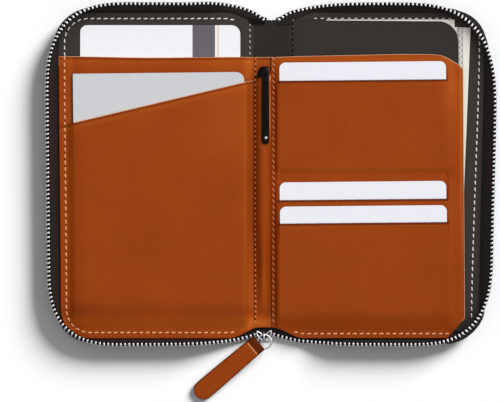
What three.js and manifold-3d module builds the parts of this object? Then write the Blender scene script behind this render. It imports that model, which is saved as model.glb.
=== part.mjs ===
// Travel document organizer: a zip-round leather folio lying open on its back.
// Millimetres. +X across both covers, +Y up the page, +Z off the table. The origin is on the
// outer face of the spine, midway between the two fold lines.
import * as THREE from 'three';
import { mergeVertices } from 'three/addons/utils/BufferGeometryUtils.js';
import Module from 'manifold-3d';

const wasm = await Module();
wasm.setup();

// ---------------------------------------------------------------- driving dimensions
const foldX = 11.2; // fold lines of the covers, each side of the middle
const edgeX = 109.5; // outer edge of each cover
const edgeY = 83.8; // top and bottom edges
const cornerRadius = 15;
const spineTopY = edgeY - 3.9; // the edge dips towards the spine at the top
const spineBottomY = edgeY - 6.2; // and more at the bottom
const dipRun = 13; // length over which it dips
const foldGap = 0.3; // air each side of a fold line
const ply = 0.25; // air between two layers

const hideThick = 1.2;
const boardThick = 0.6;
const liningThick = 0.4;
const panelThick = 0.8;
const stripThick = 0.7;
const dividerThick = 0.6;
const tapeThick = 0.5;
const paperThick = 0.3;
const noteThick = 0.2;
const cardThick = 0.76;
const passportThick = 2.0;

const passportWidth = 88;
const passportHeight = 125;
const cardWidth = 85.6;
const cardHeight = 54;
const noteWidth = 66;
const noteHeight = 156;
const ticketWidth = 82.4;
const ticketHeight = 150;

const passportTop = passportHeight + 11.5 - edgeY;
const flapEdgeY = passportTop - 5; // top of the slanting pocket at the spine's seam

const penRadius = 3.3;
const penLength = 110;
const penX = -4.15;
const penTopY = flapEdgeY + 8.3;
const clipWidth = 3.8;
const clipLength = 40;

const toothPitch = 2.2;
const toothWidth = 1.25;
const toothReach = 1.7;
const railWidth = 0.9;
const chainThick = 1.6;
const chainHigh = 8.6; // middle height of the chain round the covers
const chainLow = 2; // and beside the spine, where the pen passes over it
const chainTopY = edgeY + 5.1; // the tapes lean out beyond the covers
const chainBottomY = edgeY + 2.8;
const chainX = edgeX + 5.6;
const chainRadius = 24;

const ringRadius = 3.6; // to the middle of the wire
const wireRadius = 0.45;
const tabWidth = 10.5;
const tabLength = 41.3;
const tabThick = 2.2;
const tabAngle = THREE.MathUtils.degToRad(219.5);
const tabDroop = THREE.MathUtils.degToRad(4.9);

// ---------------------------------------------------------------- heights of the layers
const boardZ = hideThick + ply;
const liningZ = boardZ + boardThick + ply;
const liningTop = liningZ + liningThick;
const ticketZ = liningTop + ply;
const pocketZ = ticketZ + paperThick + ply;
const passportZ = pocketZ + panelThick + ply;
const flapZ = passportZ + passportThick + ply;
const rearNoteZ = liningTop + ply;
const frontNoteZ = rearNoteZ + noteThick + ply;
const dividerZ = frontNoteZ + noteThick + ply;
const leafZ = dividerZ + dividerThick + ply;
const lowCardZ = leafZ + stripThick + ply;
const tierLift = stripThick + cardThick + 2 * ply; // one card and one more layer of leather
const highCardZ = lowCardZ + tierLift;
const spineLiningZ = hideThick + ply;
const stripZ = spineLiningZ + liningThick + ply;
const tunnelZ = stripZ + stripThick + ply;
const penZ = tunnelZ + penRadius;

// ---------------------------------------------------------------- finishes
const finish = (color, roughness, metalness = 0) => ({ color, roughness, metalness });
const tan = finish(0x9a4117, 0.55);
const charcoal = finish(0x3c3834, 0.85);
const blackTape = finish(0x27201c, 0.95);
const greyBoard = finish(0x8a8478, 0.9);
const nickel = finish(0xb9bbbd, 0.3, 1);
const whitePlastic = finish(0xeceaf4, 0.35);
const whitePaper = finish(0xf4f3f8, 0.8);
const notePaper = finish(0xeeeadf, 0.85);
const coverCard = finish(0xcecfd2, 0.6);
const pageStock = finish(0xe6e1d4, 0.9);
const blackGloss = finish(0x121214, 0.2);

// ---------------------------------------------------------------- builders
/** A named mesh of one closed body. */
function piece(name, geometry, { color, roughness, metalness }) {
  const mesh = new THREE.Mesh(geometry, new THREE.MeshStandardMaterial({ color, roughness, metalness }));
  mesh.name = name;
  return mesh;
}

/** Flat outline raised from z by thick. */
function plate(shape, z, thick, curveSegments = 6) {
  const geometry = new THREE.ExtrudeGeometry(shape, { depth: thick, bevelEnabled: false, curveSegments });
  return geometry.translate(0, 0, z);
}

/** Closed body through a row of sections that all have the same number of points. */
function loft(sections) {
  const count = sections[0].length;
  const positions = sections.flat().flatMap((p) => [p.x, p.y, p.z]);
  const faces = [];
  for (let i = 0; i + 1 < sections.length; i += 1) {
    for (let j = 0; j < count; j += 1) {
      const a = i * count + j;
      const b = i * count + ((j + 1) % count);
      faces.push(a, b, b + count, a, b + count, a + count);
    }
  }
  closeEnd(sections[0], 0, faces, true);
  closeEnd(sections.at(-1), (sections.length - 1) * count, faces, false);
  return orient(indexed(positions, faces));
}

/** Triangles over one end of a loft, flattened along its main normal. */
function closeEnd(section, start, faces, flip) {
  const normal = new THREE.Vector3();
  section.forEach((p, i) => {
    normal.add(new THREE.Vector3().crossVectors(p, section[(i + 1) % section.length]));
  });
  normal.normalize();
  const turn = new THREE.Quaternion().setFromUnitVectors(normal, new THREE.Vector3(0, 0, 1));
  const flat = section.map((p) => {
    const q = p.clone().applyQuaternion(turn);
    return new THREE.Vector2(q.x, q.y);
  });
  for (const [a, b, c] of THREE.ShapeUtils.triangulateShape(flat, [])) {
    faces.push(start + a, start + (flip ? c : b), start + (flip ? b : c));
  }
}

function indexed(positions, faces) {
  const geometry = new THREE.BufferGeometry();
  geometry.setAttribute('position', new THREE.Float32BufferAttribute(positions, 3));
  geometry.setIndex(faces);
  return geometry;
}

/** Turns a body inside out when its volume comes out negative. */
function orient(geometry) {
  const at = geometry.attributes.position;
  const index = geometry.index.array;
  const [a, b, c] = [new THREE.Vector3(), new THREE.Vector3(), new THREE.Vector3()];
  let volume = 0;
  for (let i = 0; i < index.length; i += 3) {
    a.fromBufferAttribute(at, index[i]);
    b.fromBufferAttribute(at, index[i + 1]);
    c.fromBufferAttribute(at, index[i + 2]);
    volume += a.dot(b.cross(c));
  }
  if (volume < 0) {
    for (let i = 0; i < index.length; i += 3) {
      [index[i + 1], index[i + 2]] = [index[i + 2], index[i + 1]];
    }
  }
  return geometry;
}

/**
 * A sheet of leather or cloth over a grid of columns and rows, thickened upwards. rowsAt(x) gives the
 * rows of a column as {y, tier}; height(x, y, tier) is the underside. Two rows at one y with different
 * tiers make a cut, open wherever their heights differ and sewn where they agree.
 */
function sheet(columns, rowsAt, height, thick) {
  const keys = new Map();
  const points = [];
  const vertex = (x, { y, tier }) => {
    const z = height(x, y, tier);
    const key = [x, y, z].map((value) => value.toFixed(4)).join();
    if (!keys.has(key)) {
      keys.set(key, points.length);
      points.push(new THREE.Vector3(x, y, z));
    }
    return keys.get(key);
  };
  const grid = columns.map((x) => rowsAt(x).map((row) => ({ id: vertex(x, row), tier: row.tier })));
  const upper = [];
  const addFace = (a, b, c) => {
    if (a !== b && b !== c && c !== a) upper.push([a, b, c]);
  };
  for (let i = 0; i + 1 < grid.length; i += 1) {
    for (let j = 0; j + 1 < grid[i].length; j += 1) {
      if (grid[i][j].tier === grid[i][j + 1].tier) {
        const [a, b] = [grid[i][j].id, grid[i + 1][j].id];
        const [c, d] = [grid[i + 1][j + 1].id, grid[i][j + 1].id];
        addFace(a, b, c);
        addFace(a, c, d);
      }
    }
  }
  const lift = points.length;
  const positions = [0, thick].flatMap((up) => points.flatMap((p) => [p.x, p.y, p.z + up]));
  const edges = new Set(upper.flatMap(([a, b, c]) => [`${a},${b}`, `${b},${c}`, `${c},${a}`]));
  const faces = upper.flatMap(([a, b, c]) => [a + lift, b + lift, c + lift, a, c, b]);
  for (const edge of edges) {
    const [a, b] = edge.split(',').map(Number);
    if (!edges.has(`${b},${a}`)) faces.push(a, b, b + lift, a, b + lift, a + lift);
  }
  return orient(indexed(positions, faces));
}

/** Manifold solid of a closed geometry. */
function solid(geometry) {
  const bare = geometry.clone();
  bare.deleteAttribute('normal');
  bare.deleteAttribute('uv');
  const merged = mergeVertices(bare, 1e-4);
  return new wasm.Manifold(new wasm.Mesh({
    numProp: 3,
    vertProperties: Float32Array.from(merged.attributes.position.array),
    triVerts: Uint32Array.from(merged.index.array),
  }));
}

/** Geometry of a manifold solid. */
function fromSolid(body) {
  const mesh = body.getMesh();
  return indexed(Array.from(mesh.vertProperties), Array.from(mesh.triVerts));
}

const box = (x0, x1, y0, y1, z0, z1) => new THREE.BoxGeometry(x1 - x0, y1 - y0, z1 - z0)
  .translate((x0 + x1) / 2, (y0 + y1) / 2, (z0 + z1) / 2);

/** Rectangle with its own radius at each corner: lower left, lower right, upper right, upper left. */
function roundedRect(x0, x1, y0, y1, [lowLeft, lowRight, topRight, topLeft]) {
  const shape = new THREE.Shape();
  shape.moveTo(x0 + lowLeft, y0);
  shape.lineTo(x1 - lowRight, y0);
  if (lowRight) shape.absarc(x1 - lowRight, y0 + lowRight, lowRight, -Math.PI / 2, 0);
  shape.lineTo(x1, y1 - topRight);
  if (topRight) shape.absarc(x1 - topRight, y1 - topRight, topRight, 0, Math.PI / 2);
  shape.lineTo(x0 + topLeft, y1);
  if (topLeft) shape.absarc(x0 + topLeft, y1 - topLeft, topLeft, Math.PI / 2, Math.PI);
  shape.lineTo(x0, y0 + lowLeft);
  if (lowLeft) shape.absarc(x0 + lowLeft, y0 + lowLeft, lowLeft, Math.PI, Math.PI * 1.5);
  return shape;
}

const ease = (t) => {
  const u = THREE.MathUtils.clamp(t, 0, 1);
  return u * u * (3 - 2 * u);
};

/** The values from first to last in equal steps. */
const steps = (first, last, count) => Array.from(
  { length: count + 1 },
  (_, i) => first + ((last - first) * i) / count,
);

// ---------------------------------------------------------------- outline of the folio
/** Height of the top edge (end = 1) or bottom edge (end = -1) at x, with the outline drawn in by inset. */
function outlineY(x, end, inset = 0) {
  const spineY = end > 0 ? spineTopY : spineBottomY;
  const start = end > 0 ? foldX - 1 : foldX - 7;
  const dip = (edgeY - spineY) * (1 - ease((Math.abs(x) - start) / dipRun));
  const radius = cornerRadius - inset;
  const past = Math.max(0, Math.abs(x) - (edgeX - cornerRadius));
  const round = radius - Math.sqrt(Math.max(0, radius * radius - past * past));
  return end * (edgeY - inset - dip - round);
}

/** Columns from the fold to the outer edge of a cover, close together round the corner. */
function coverColumns(side, inset, from = foldX + foldGap) {
  const radius = cornerRadius - inset;
  const start = edgeX - cornerRadius;
  const arc = steps(0, Math.PI / 2, 6).map((angle) => start + radius * Math.sin(angle));
  const dips = steps(from, foldX + dipRun, 5);
  return [...dips, start / 2, ...arc].map((x) => side * x);
}

/** Flat layer over a cover. */
function coverLayer(side, inset, z, thick, from) {
  const rows = (x) => [{ y: outlineY(x, -1, inset), tier: 0 }, { y: outlineY(x, 1, inset), tier: 0 }];
  return sheet(coverColumns(side, inset, from), rows, () => z, thick);
}

/** Flat layer over the spine between two values of x. */
function spineLayer(x0, x1, z, thick, inset = 0, topY = undefined) {
  const rows = (x) => [
    { y: outlineY(x, -1, inset), tier: 0 },
    { y: topY ?? outlineY(x, 1, inset), tier: 0 },
  ];
  return sheet(steps(x0, x1, 8), rows, () => z, thick);
}

// ---------------------------------------------------------------- outer case
const seamWidth = 6; // tape sewn in under the lining
const boardInset = seamWidth + 3;
const liningInset = 1;

function buildCase() {
  const reach = foldX - foldGap;
  const parts = [
    piece('spine_cover', spineLayer(-reach, reach, 0, hideThick), tan),
    piece('spine_lining', spineLayer(-reach, reach, spineLiningZ, liningThick, 0.5), charcoal),
  ];
  for (const [side, name] of [[-1, 'left'], [1, 'right']]) {
    parts.push(piece(`cover_${name}`, coverLayer(side, 0, 0, hideThick), tan));
    parts.push(piece(`board_${name}`,
      coverLayer(side, boardInset, boardZ, boardThick, foldX + 2), greyBoard));
    parts.push(piece(`lining_${name}`, coverLayer(side, liningInset, liningZ, liningThick), charcoal));
  }
  return parts;
}

// ---------------------------------------------------------------- zip
/** Points round a cover from the top of its fold to the bottom, on the side given. */
function rim(side, { topAt, bottomAt, outerX, radius }) {
  const start = foldX + foldGap;
  const cornerX = outerX - radius;
  const topY = topAt(cornerX);
  const bottomY = bottomAt(cornerX);
  const run = [...steps(start, start + dipRun + 11, 8), ...steps(start + dipRun + 11, cornerX, 4).slice(1)];
  const points = run.map((x) => [x, topAt(x)]);
  for (const a of steps(Math.PI / 2, 0, 8).slice(1)) {
    points.push([cornerX + radius * Math.cos(a), topY - radius + radius * Math.sin(a)]);
  }
  for (const y of steps(topY - radius, bottomY + radius, 6).slice(1)) points.push([outerX, y]);
  for (const a of steps(0, -Math.PI / 2, 8).slice(1)) {
    points.push([cornerX + radius * Math.cos(a), bottomY + radius + radius * Math.sin(a)]);
  }
  for (const x of run.slice(0, -1).reverse()) points.push([x, bottomAt(x)]);
  return points.map(([x, y]) => new THREE.Vector2(side * x, y));
}

/** Top and bottom lines of the chain, drawn in towards the spine. */
const chainTopAt = (x) => chainTopY - 8.7 * Math.exp((4 - Math.abs(x)) / 10);
const chainBottomAt = (x) => -chainBottomY + 4.9 * Math.exp(Math.min(0, 5 - Math.abs(x)) / 13);

const chainRim = { topAt: chainTopAt, bottomAt: chainBottomAt, outerX: chainX, radius: chainRadius };

/** The edge of the case drawn in by inset. */
const caseRim = (inset) => ({
  topAt: (x) => outlineY(x, 1) - inset,
  bottomAt: (x) => outlineY(x, -1) + inset,
  outerX: edgeX - inset,
  radius: cornerRadius - inset,
});

/** Middle height of the chain, low beside the spine where both tapes are drawn in. */
function chainZ(x) {
  return chainLow + (chainHigh - chainLow) * ease((Math.abs(x) - foldX - 1) / 30);
}

/** Outward normals of an open row of points that runs round a cover. */
function normals(points, side) {
  return points.map((_, i) => {
    const along = points[Math.min(i + 1, points.length - 1)].clone().sub(points[Math.max(i - 1, 0)]);
    return new THREE.Vector2(-along.y, along.x).normalize().multiplyScalar(side);
  });
}

/** Woven tape: sewn flat under the lining, then leaning up and out to the chain. */
function tape(side) {
  const outer = rim(side, chainRim);
  const edge = rim(side, caseRim(0));
  const inner = rim(side, caseRim(seamWidth));
  const away = normals(outer, side);
  const knee = 0.4;
  const rest = railWidth / 2 + ply + 0.25; // the tape is faceted round the corners
  return loft(outer.map((p, i) => {
    const n = away[i];
    const at = (base, off, z) => new THREE.Vector3(base.x + n.x * off, base.y + n.y * off, z);
    const top = chainZ(p.x);
    return [
      at(inner[i], 0, boardZ), at(edge[i], knee, boardZ), at(p, -rest, top),
      at(p, -rest - tapeThick, top + 0.2), at(edge[i], knee - tapeThick, boardZ + tapeThick),
      at(inner[i], 0, boardZ + tapeThick),
    ];
  }));
}

/** One half of the metal chain along a row of points: a rail clamped on the tape and its teeth. */
function chain(points, side) {
  const course = points.map((p) => new THREE.Vector3(p.x, p.y, 0));
  const path = new THREE.CatmullRomCurve3(course, false, 'centripetal');
  const length = path.getLength();
  const teeth = Math.floor(length / toothPitch);
  const at = (s, off) => {
    const u = THREE.MathUtils.clamp(s / length, 0, 1);
    const p = path.getPointAt(u);
    const t = path.getTangentAt(u);
    return new THREE.Vector2(p.x - t.y * side * off, p.y + t.x * side * off);
  };
  const start = (length - (teeth - 1) * toothPitch - toothWidth) / 2;
  const outline = [at(0, railWidth / 2)];
  for (let i = 0; i < teeth; i += 1) {
    const s = start + i * toothPitch;
    outline.push(at(s, railWidth / 2), at(s + 0.15, railWidth / 2 + toothReach));
    outline.push(at(s + toothWidth - 0.15, railWidth / 2 + toothReach), at(s + toothWidth, railWidth / 2));
  }
  outline.push(at(length, railWidth / 2));
  const inside = Math.max(4, Math.round(length / 3.2));
  for (const s of steps(length, 0, inside)) outline.push(at(s, -railWidth / 2));
  const comb = plate(new THREE.Shape(outline), -chainThick / 2, chainThick);
  const position = comb.attributes.position;
  for (let i = 0; i < position.count; i += 1) position.setZ(i, position.getZ(i) + chainZ(position.getX(i)));
  return comb;
}

const sliderX = -3.8;
const sliderY = -spineBottomY - 4.5;
const sliderWidth = 7.2;
const sliderLength = 7.4;
const wingThick = 0.8;
const channelGap = 0.4; // air above and below the chain between the slider's wings

/** Short ends of both chains that lie on the spine, top and bottom. */
function chainEnds() {
  const gap = foldX - foldGap;
  const row = (side, last, heightAt) => (
    steps(gap, last, 4).map((x) => new THREE.Vector2(side * x, heightAt(x)))
  );
  const topRow = (side, last) => row(side, last, chainTopAt);
  const bottomRow = (side, last) => row(side, last, chainBottomAt);
  const enter = 0.9; // how far a chain reaches in between the slider's wings
  return [
    piece('chain_end_top_left', chain(topRow(-1, 3.9).reverse(), -1), nickel),
    piece('chain_end_top_right', chain(topRow(1, 4.4).reverse(), 1), nickel),
    piece('chain_end_bottom_left', chain(bottomRow(-1, -sliderX + sliderWidth / 2 - enter), -1), nickel),
    piece('chain_end_bottom_right', chain(bottomRow(1, sliderX + sliderWidth / 2 + enter), 1), nickel),
  ];
}

const bridgeEndX = 9; // where the leather's arc comes down to the bridge

/** Black tape across the foot of the spine, between the leather's arc and the chain. */
function tapeBridge() {
  const rows = (x) => [{ y: -spineBottomY - 3.3, tier: 0 }, { y: outlineY(x, -1) - 0.3, tier: 0 }];
  return sheet(steps(-bridgeEndX, bridgeEndX, 6), rows, () => chainLow - tapeThick, tapeThick);
}

/** Die-cast slider: two wings held apart by a post, with an arched bridge for the ring. */
function slider() {
  const lower = chainLow - chainThick / 2 - channelGap - wingThick;
  const upper = chainLow + chainThick / 2 + channelGap;
  const half = sliderWidth / 2;
  const wing = new THREE.Shape();
  wing.moveTo(-half, -sliderLength / 2 + 1);
  wing.quadraticCurveTo(-half, -sliderLength / 2, -half + 1.4, -sliderLength / 2);
  wing.quadraticCurveTo(0, -sliderLength / 2 + 0.8, half - 1.4, -sliderLength / 2);
  wing.quadraticCurveTo(half, -sliderLength / 2, half, -sliderLength / 2 + 1);
  wing.lineTo(half * 0.72, sliderLength / 2 - 0.8);
  wing.quadraticCurveTo(half * 0.66, sliderLength / 2, half * 0.4, sliderLength / 2);
  wing.lineTo(-half * 0.4, sliderLength / 2);
  wing.quadraticCurveTo(-half * 0.66, sliderLength / 2, -half * 0.72, sliderLength / 2 - 0.8);
  const wedge = [[-0.9, -2.4], [0, -3], [0.9, -2.4], [0, 0.6]];
  const post = new THREE.Shape(wedge.map(([x, y]) => new THREE.Vector2(x, y)));
  const arch = new THREE.Shape();
  arch.moveTo(-2.6, 0);
  arch.lineTo(-2.6, 1.2);
  arch.quadraticCurveTo(-2.6, 2.4, -1.4, 2.4);
  arch.lineTo(1.6, 2.4);
  arch.quadraticCurveTo(2.9, 2.4, 3.1, 0);
  arch.lineTo(2.2, 0);
  arch.quadraticCurveTo(2.1, 1.6, 1.4, 1.6);
  arch.lineTo(-1.4, 1.6);
  arch.quadraticCurveTo(-1.8, 1.6, -1.8, 0);
  const bridge = new THREE.ExtrudeGeometry(arch, { depth: 2.2, bevelEnabled: false, curveSegments: 4 });
  bridge.translate(0, 0, -1.1).rotateX(Math.PI / 2).rotateZ(Math.PI / 2);
  bridge.translate(0, 0, upper + wingThick - 0.05);
  const joined = [
    plate(wing, lower, wingThick, 4),
    plate(wing, upper, wingThick, 4),
    plate(post, lower + 0.2, upper - lower, 4),
    bridge,
  ].map(solid).reduce((whole, next) => whole.add(next));
  return fromSolid(joined).translate(sliderX, sliderY, 0);
}

// the ring's wire runs through the bridge, its far side carries the tab
const ringZ = chainLow + chainThick / 2 + channelGap + wingThick + wireRadius + 0.4;
const ringX = sliderX + 0.25;
const ringY = sliderY + 0.25 - ringRadius; // its near wire lies under the bridge
const tabDirection = new THREE.Vector2(Math.cos(tabAngle), Math.sin(tabAngle));

function pullRing() {
  return new THREE.TorusGeometry(ringRadius, wireRadius, 8, 24).translate(ringX, ringY, ringZ);
}

/** Folded leather strap with an eye round the ring's wire, drooping to the table. */
function pullTab() {
  const eye = wireRadius + 0.3;
  const side = new THREE.Shape();
  side.absarc(0, 0, eye + 0.8, Math.PI / 4, Math.PI * 1.75);
  side.lineTo(3, -tabThick / 2);
  side.lineTo(tabLength, -tabThick / 2);
  side.lineTo(tabLength, tabThick / 2);
  side.lineTo(3, tabThick / 2);
  side.holes.push(new THREE.Path().absarc(0, 0, eye, 0, Math.PI * 2, true));
  const strap = new THREE.ExtrudeGeometry(side, { depth: tabWidth, bevelEnabled: false, curveSegments: 6 });
  strap.translate(0, 0, -tabWidth / 2).rotateX(Math.PI / 2);
  const half = tabWidth / 2;
  const tongue = 1.3;
  const plan = new THREE.Shape();
  plan.moveTo(-3, -tongue);
  plan.lineTo(1.1, -tongue);
  plan.quadraticCurveTo(1.6, -half, 3.4, -half);
  plan.lineTo(tabLength - half, -half);
  plan.absarc(tabLength - half, 0, half, -Math.PI / 2, Math.PI / 2);
  plan.lineTo(3.4, half);
  plan.quadraticCurveTo(1.6, half, 1.1, tongue);
  plan.lineTo(-3, tongue);
  const cut = solid(strap).intersect(solid(plate(plan, -4, 8, 6)));
  const geometry = fromSolid(cut);
  geometry.rotateY(tabDroop).rotateZ(tabAngle);
  return geometry.translate(
    ringX + tabDirection.x * ringRadius,
    ringY + tabDirection.y * ringRadius,
    ringZ,
  );
}

function buildZip() {
  return [
    piece('zip_tape_left', tape(-1), blackTape),
    piece('zip_tape_right', tape(1), blackTape),
    piece('zip_chain_left', chain(rim(-1, chainRim), -1), nickel),
    piece('zip_chain_right', chain(rim(1, chainRim), 1), nickel),
    ...chainEnds(),
    piece('tape_bridge', tapeBridge(), blackTape),
    piece('slider', slider(), nickel),
    piece('pull_ring', pullRing(), nickel),
    piece('pull_tab', pullTab(), tan),
  ];
}

// ---------------------------------------------------------------- left pockets
const ticketPocketTop = edgeY - 23;
const passportLeft = -foldX - 2.4 - passportWidth;
const flapEdgeX = -8.7;
const flapSlope = 0.236;
const penClearX = -foldX - 5.2; // the slanting pocket stops here, so that the closed cover clears the pen

const flapTop = (x) => flapEdgeY + (x - flapEdgeX) * flapSlope;

/** Straight pocket that holds the ticket. */
function ticketPocket() {
  const rows = (x) => [{ y: outlineY(x, -1, 1), tier: 0 }, { y: ticketPocketTop, tier: 0 }];
  return sheet(coverColumns(-1, 1), rows, () => pocketZ, panelThick);
}

/** Slanting pocket, lifted over the passport and sewn down round the outside. */
function slantPocket() {
  const low = passportZ;
  const rise = flapZ - low;
  const bottom = passportTop - passportHeight;
  const lift = (x, y) => low + rise
    * ease((x - (passportLeft - 5)) / 4.7)
    * ease((y - (bottom - 7)) / 6.7);
  const rows = (x) => {
    const foot = outlineY(x, -1, 1);
    const fixed = [bottom - 0.3, bottom + 20, -10].map((y) => Math.max(y, foot + 3));
    return [foot, (foot + fixed[0]) / 2, ...fixed, flapTop(x)].map((y) => ({ y, tier: 0 }));
  };
  const columns = coverColumns(-1, 1, -penClearX);
  columns.push(passportLeft - 4, passportLeft - 2.5, passportLeft - 0.4, passportLeft + 1);
  columns.sort((a, b) => a - b);
  return sheet(columns, rows, lift, panelThick);
}

function passport() {
  const right = passportLeft + passportWidth;
  const bottom = passportTop - passportHeight;
  const skin = 0.35;
  const air = 0.2;
  const outline = roundedRect(passportLeft, right, bottom, passportTop, [0, 4, 4, 0]);
  const hollow = box(passportLeft + skin, right + 5, bottom - 5, passportTop + 5,
    passportZ + skin, passportZ + passportThick - skin);
  const cover = solid(plate(outline, passportZ, passportThick)).subtract(solid(hollow));
  const left = passportLeft + skin + air;
  const leaf = roundedRect(left, right - 0.5, bottom + 0.5, passportTop - 0.5, [0, 4, 4, 0]);
  return [
    piece('passport_cover', fromSolid(cover), coverCard),
    piece('passport_pages', plate(leaf, passportZ + skin + air, passportThick - 2 * (skin + air)), pageStock),
  ];
}

function ticket() {
  const left = -foldX - 4.8 - ticketWidth;
  const top = ticketHeight + 11.2 - edgeY;
  const outline = roundedRect(left, left + ticketWidth, top - ticketHeight, top, [3.6, 3.6, 3.6, 3.6]);
  return piece('ticket', plate(outline, ticketZ, paperThick, 4), whitePaper);
}

function buildLeft() {
  return [
    piece('ticket_pocket', ticketPocket(), tan),
    piece('slant_pocket', slantPocket(), tan),
    ...passport(),
    ticket(),
  ];
}

// ---------------------------------------------------------------- spine strips and pen
const seamRightX = 1.4;
const lapEndX = seamRightX + 1.25;
const tunnelThick = 0.7;
const penFit = 0.25;
const penTipY = penTopY - penLength;
const penTaperY = -20;

/** Radius of the pen at y: parallel down to the taper, then drawn in to the nose. */
function penRadiusAt(y) {
  if (y > penTaperY) return penRadius;
  const t = THREE.MathUtils.clamp((penTaperY - y) / (penTaperY - penTipY), 0, 1);
  return THREE.MathUtils.lerp(penRadius, 1.1, t ** 1.3);
}

/** Section of the tunnel: a foot each side and an arch over the pen, sinking away below its tip. */
function tunnelSection(y) {
  const fade = ease((y - (penTipY - 8)) / 8);
  const inner = THREE.MathUtils.lerp(0.35, penRadiusAt(y) + penFit, fade);
  const outer = inner + tunnelThick;
  const footTop = tunnelZ + tunnelThick;
  const middle = THREE.MathUtils.lerp(footTop + 0.65, penZ, fade);
  const spread = THREE.MathUtils.degToRad(35);
  const at = (x, z) => new THREE.Vector3(x, y, z);
  const arc = (radius, from, to) => steps(from, to, 10).map(
    (a) => at(penX + radius * Math.cos(a), middle + radius * Math.sin(a)),
  );
  const reach = Math.cos(spread) * outer + 0.8;
  const inside = Math.cos(spread) * inner + 0.1;
  return [
    at(-foldX + foldGap, tunnelZ), at(-foldX + foldGap, footTop), at(penX - reach, footTop),
    ...arc(outer, Math.PI + spread, -spread),
    at(penX + reach, footTop), at(lapEndX, footTop), at(lapEndX, tunnelZ),
    at(penX + inside, tunnelZ),
    ...arc(inner, -spread, Math.PI + spread),
    at(penX - inside, tunnelZ),
  ];
}

function penTunnel() {
  const foot = outlineY(penX, -1, 1.6);
  const stations = [
    ...steps(foot, penTipY - 8, 2),
    ...steps(penTipY - 8, penTipY, 3).slice(1),
    ...steps(penTipY, penTaperY, 6).slice(1),
    15, flapEdgeY,
  ];
  return loft(stations.map(tunnelSection));
}

/** Edge of the card leaf's leather, sewn over the tunnel's foot. */
function leafStrip() {
  const z = tunnelZ + tunnelThick + ply;
  const y0 = outlineY(0, -1, 1.6);
  return box(0.45, lapEndX, y0, leafTopY, z, z + stripThick);
}

function pen() {
  const cap = 41;
  const nose = 9;
  const bodyTop = penTopY - cap - ply;
  const bodyEnd = penTipY + nose;
  const barrel = [[0, bodyTop], [penRadius - 0.4, bodyTop], [penRadius - 0.1, bodyTop - 0.4]];
  for (const y of steps(penTaperY, bodyEnd, 5)) barrel.push([penRadiusAt(y) - 0.1, y]);
  barrel.push([0, bodyEnd]);
  const top = [[0, penTopY], [penRadius - 1.1, penTopY - 0.1], [penRadius - 0.2, penTopY - 1.1],
    [penRadius, penTopY - 2.4], [penRadius, penTopY - cap], [0, penTopY - cap]];
  const tipRadius = penRadiusAt(bodyEnd) - 0.1;
  const tip = [[0, bodyEnd - ply], [tipRadius, bodyEnd - ply], [tipRadius * 0.8, bodyEnd - 4],
    [0.5, penTipY + 1], [0.3, penTipY], [0, penTipY]];
  const turned = (profile) => new THREE.LatheGeometry(profile.map(([r, y]) => new THREE.Vector2(r, y)), 16)
    .translate(penX, 0, penZ);
  const clipZ = penZ + penRadius + penFit + tunnelThick + 0.3;
  const clip = new THREE.Shape();
  clip.moveTo(penTopY, clipZ + 0.3);
  clip.quadraticCurveTo(penTopY, clipZ + 0.9, penTopY - 1, clipZ + 0.9);
  clip.lineTo(penTopY - clipLength, clipZ + 0.8);
  clip.lineTo(penTopY - clipLength, clipZ + 0.1);
  clip.lineTo(penTopY - 4.5, clipZ);
  clip.lineTo(penTopY - 4.5, penZ + penRadius + 0.2);
  clip.lineTo(penTopY, penZ + penRadius + 0.2);
  const bar = new THREE.ExtrudeGeometry(clip, { depth: clipWidth, bevelEnabled: false, curveSegments: 3 })
    .translate(0, 0, -clipWidth / 2).rotateX(Math.PI / 2).rotateZ(Math.PI / 2);
  return [
    piece('pen_barrel', orientLathe(turned(barrel)), blackGloss),
    piece('pen_cap', orientLathe(turned(top)), blackGloss),
    piece('pen_tip', orientLathe(turned(tip)), nickel),
    piece('pen_clip', bar.translate(penX + 1, 0, 0), blackGloss),
  ];
}

/** A turned body with its seam merged and its faces out. */
function orientLathe(geometry) {
  geometry.deleteAttribute('normal');
  geometry.deleteAttribute('uv');
  return orient(mergeVertices(geometry, 1e-4));
}

function buildSpine() {
  const strip = spineLayer(-foldX + foldGap, lapEndX, stripZ, stripThick, 1.6, ticketPocketTop);
  return [
    piece('spine_strip', strip, tan),
    piece('pen_tunnel', penTunnel(), tan),
    piece('leaf_strip', leafStrip(), tan),
    ...pen(),
  ];
}

// ---------------------------------------------------------------- right side
const leafLeftX = lapEndX + foldGap;
const leafRightX = edgeX - 10.3;
const leafTopY = edgeY - 21.6;
const slitYs = [13.6, 74.8, 86.9].map((drop) => leafTopY - drop);
const slitLeft = 3.5;
const slitRight = slitLeft + cardWidth + 2.5;
const cardRightX = slitRight - 1.7;
const cardLeftX = cardRightX - cardWidth;
const cardTops = [9.9, 9.2, 8.9].map((shows, i) => slitYs[i] + shows);
const cardEnds = cardTops.map((top) => top - cardHeight);
const dividerRightX = edgeX - 13.4;
const dividerTopY = edgeY - 4.4;

/** Underside of the card leaf: each tier rides over the cards below it and drops at its own slit. */
function leafHeight(x, y, tier) {
  const overFirst = ease((y - (cardEnds[0] - 3.6)) / 3.3);
  const foot = ease((y - (cardEnds[2] - 8.5)) / 8.2);
  const lifts = [0, tierLift * overFirst, tierLift, 2 * tierLift * foot];
  const upward = ease((y - cardEnds[1] - 17.4) / 46);
  const beside = THREE.MathUtils.lerp(foot * 1.6, 0.9 * ease((y - cardEnds[0] - 3.5) / 12), upward);
  const margin = tierLift * beside * (1 - ease((y - slitYs[0] + 6) / 14));
  const inside = ease((x - slitLeft) / 0.6) * ease((slitRight - x) / 1.5);
  const beyond = ease((leafRightX - 1 - x) / (leafRightX - 1 - slitRight));
  return leafZ + THREE.MathUtils.lerp(margin * Math.min(1, beyond), lifts[tier], inside);
}

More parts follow.
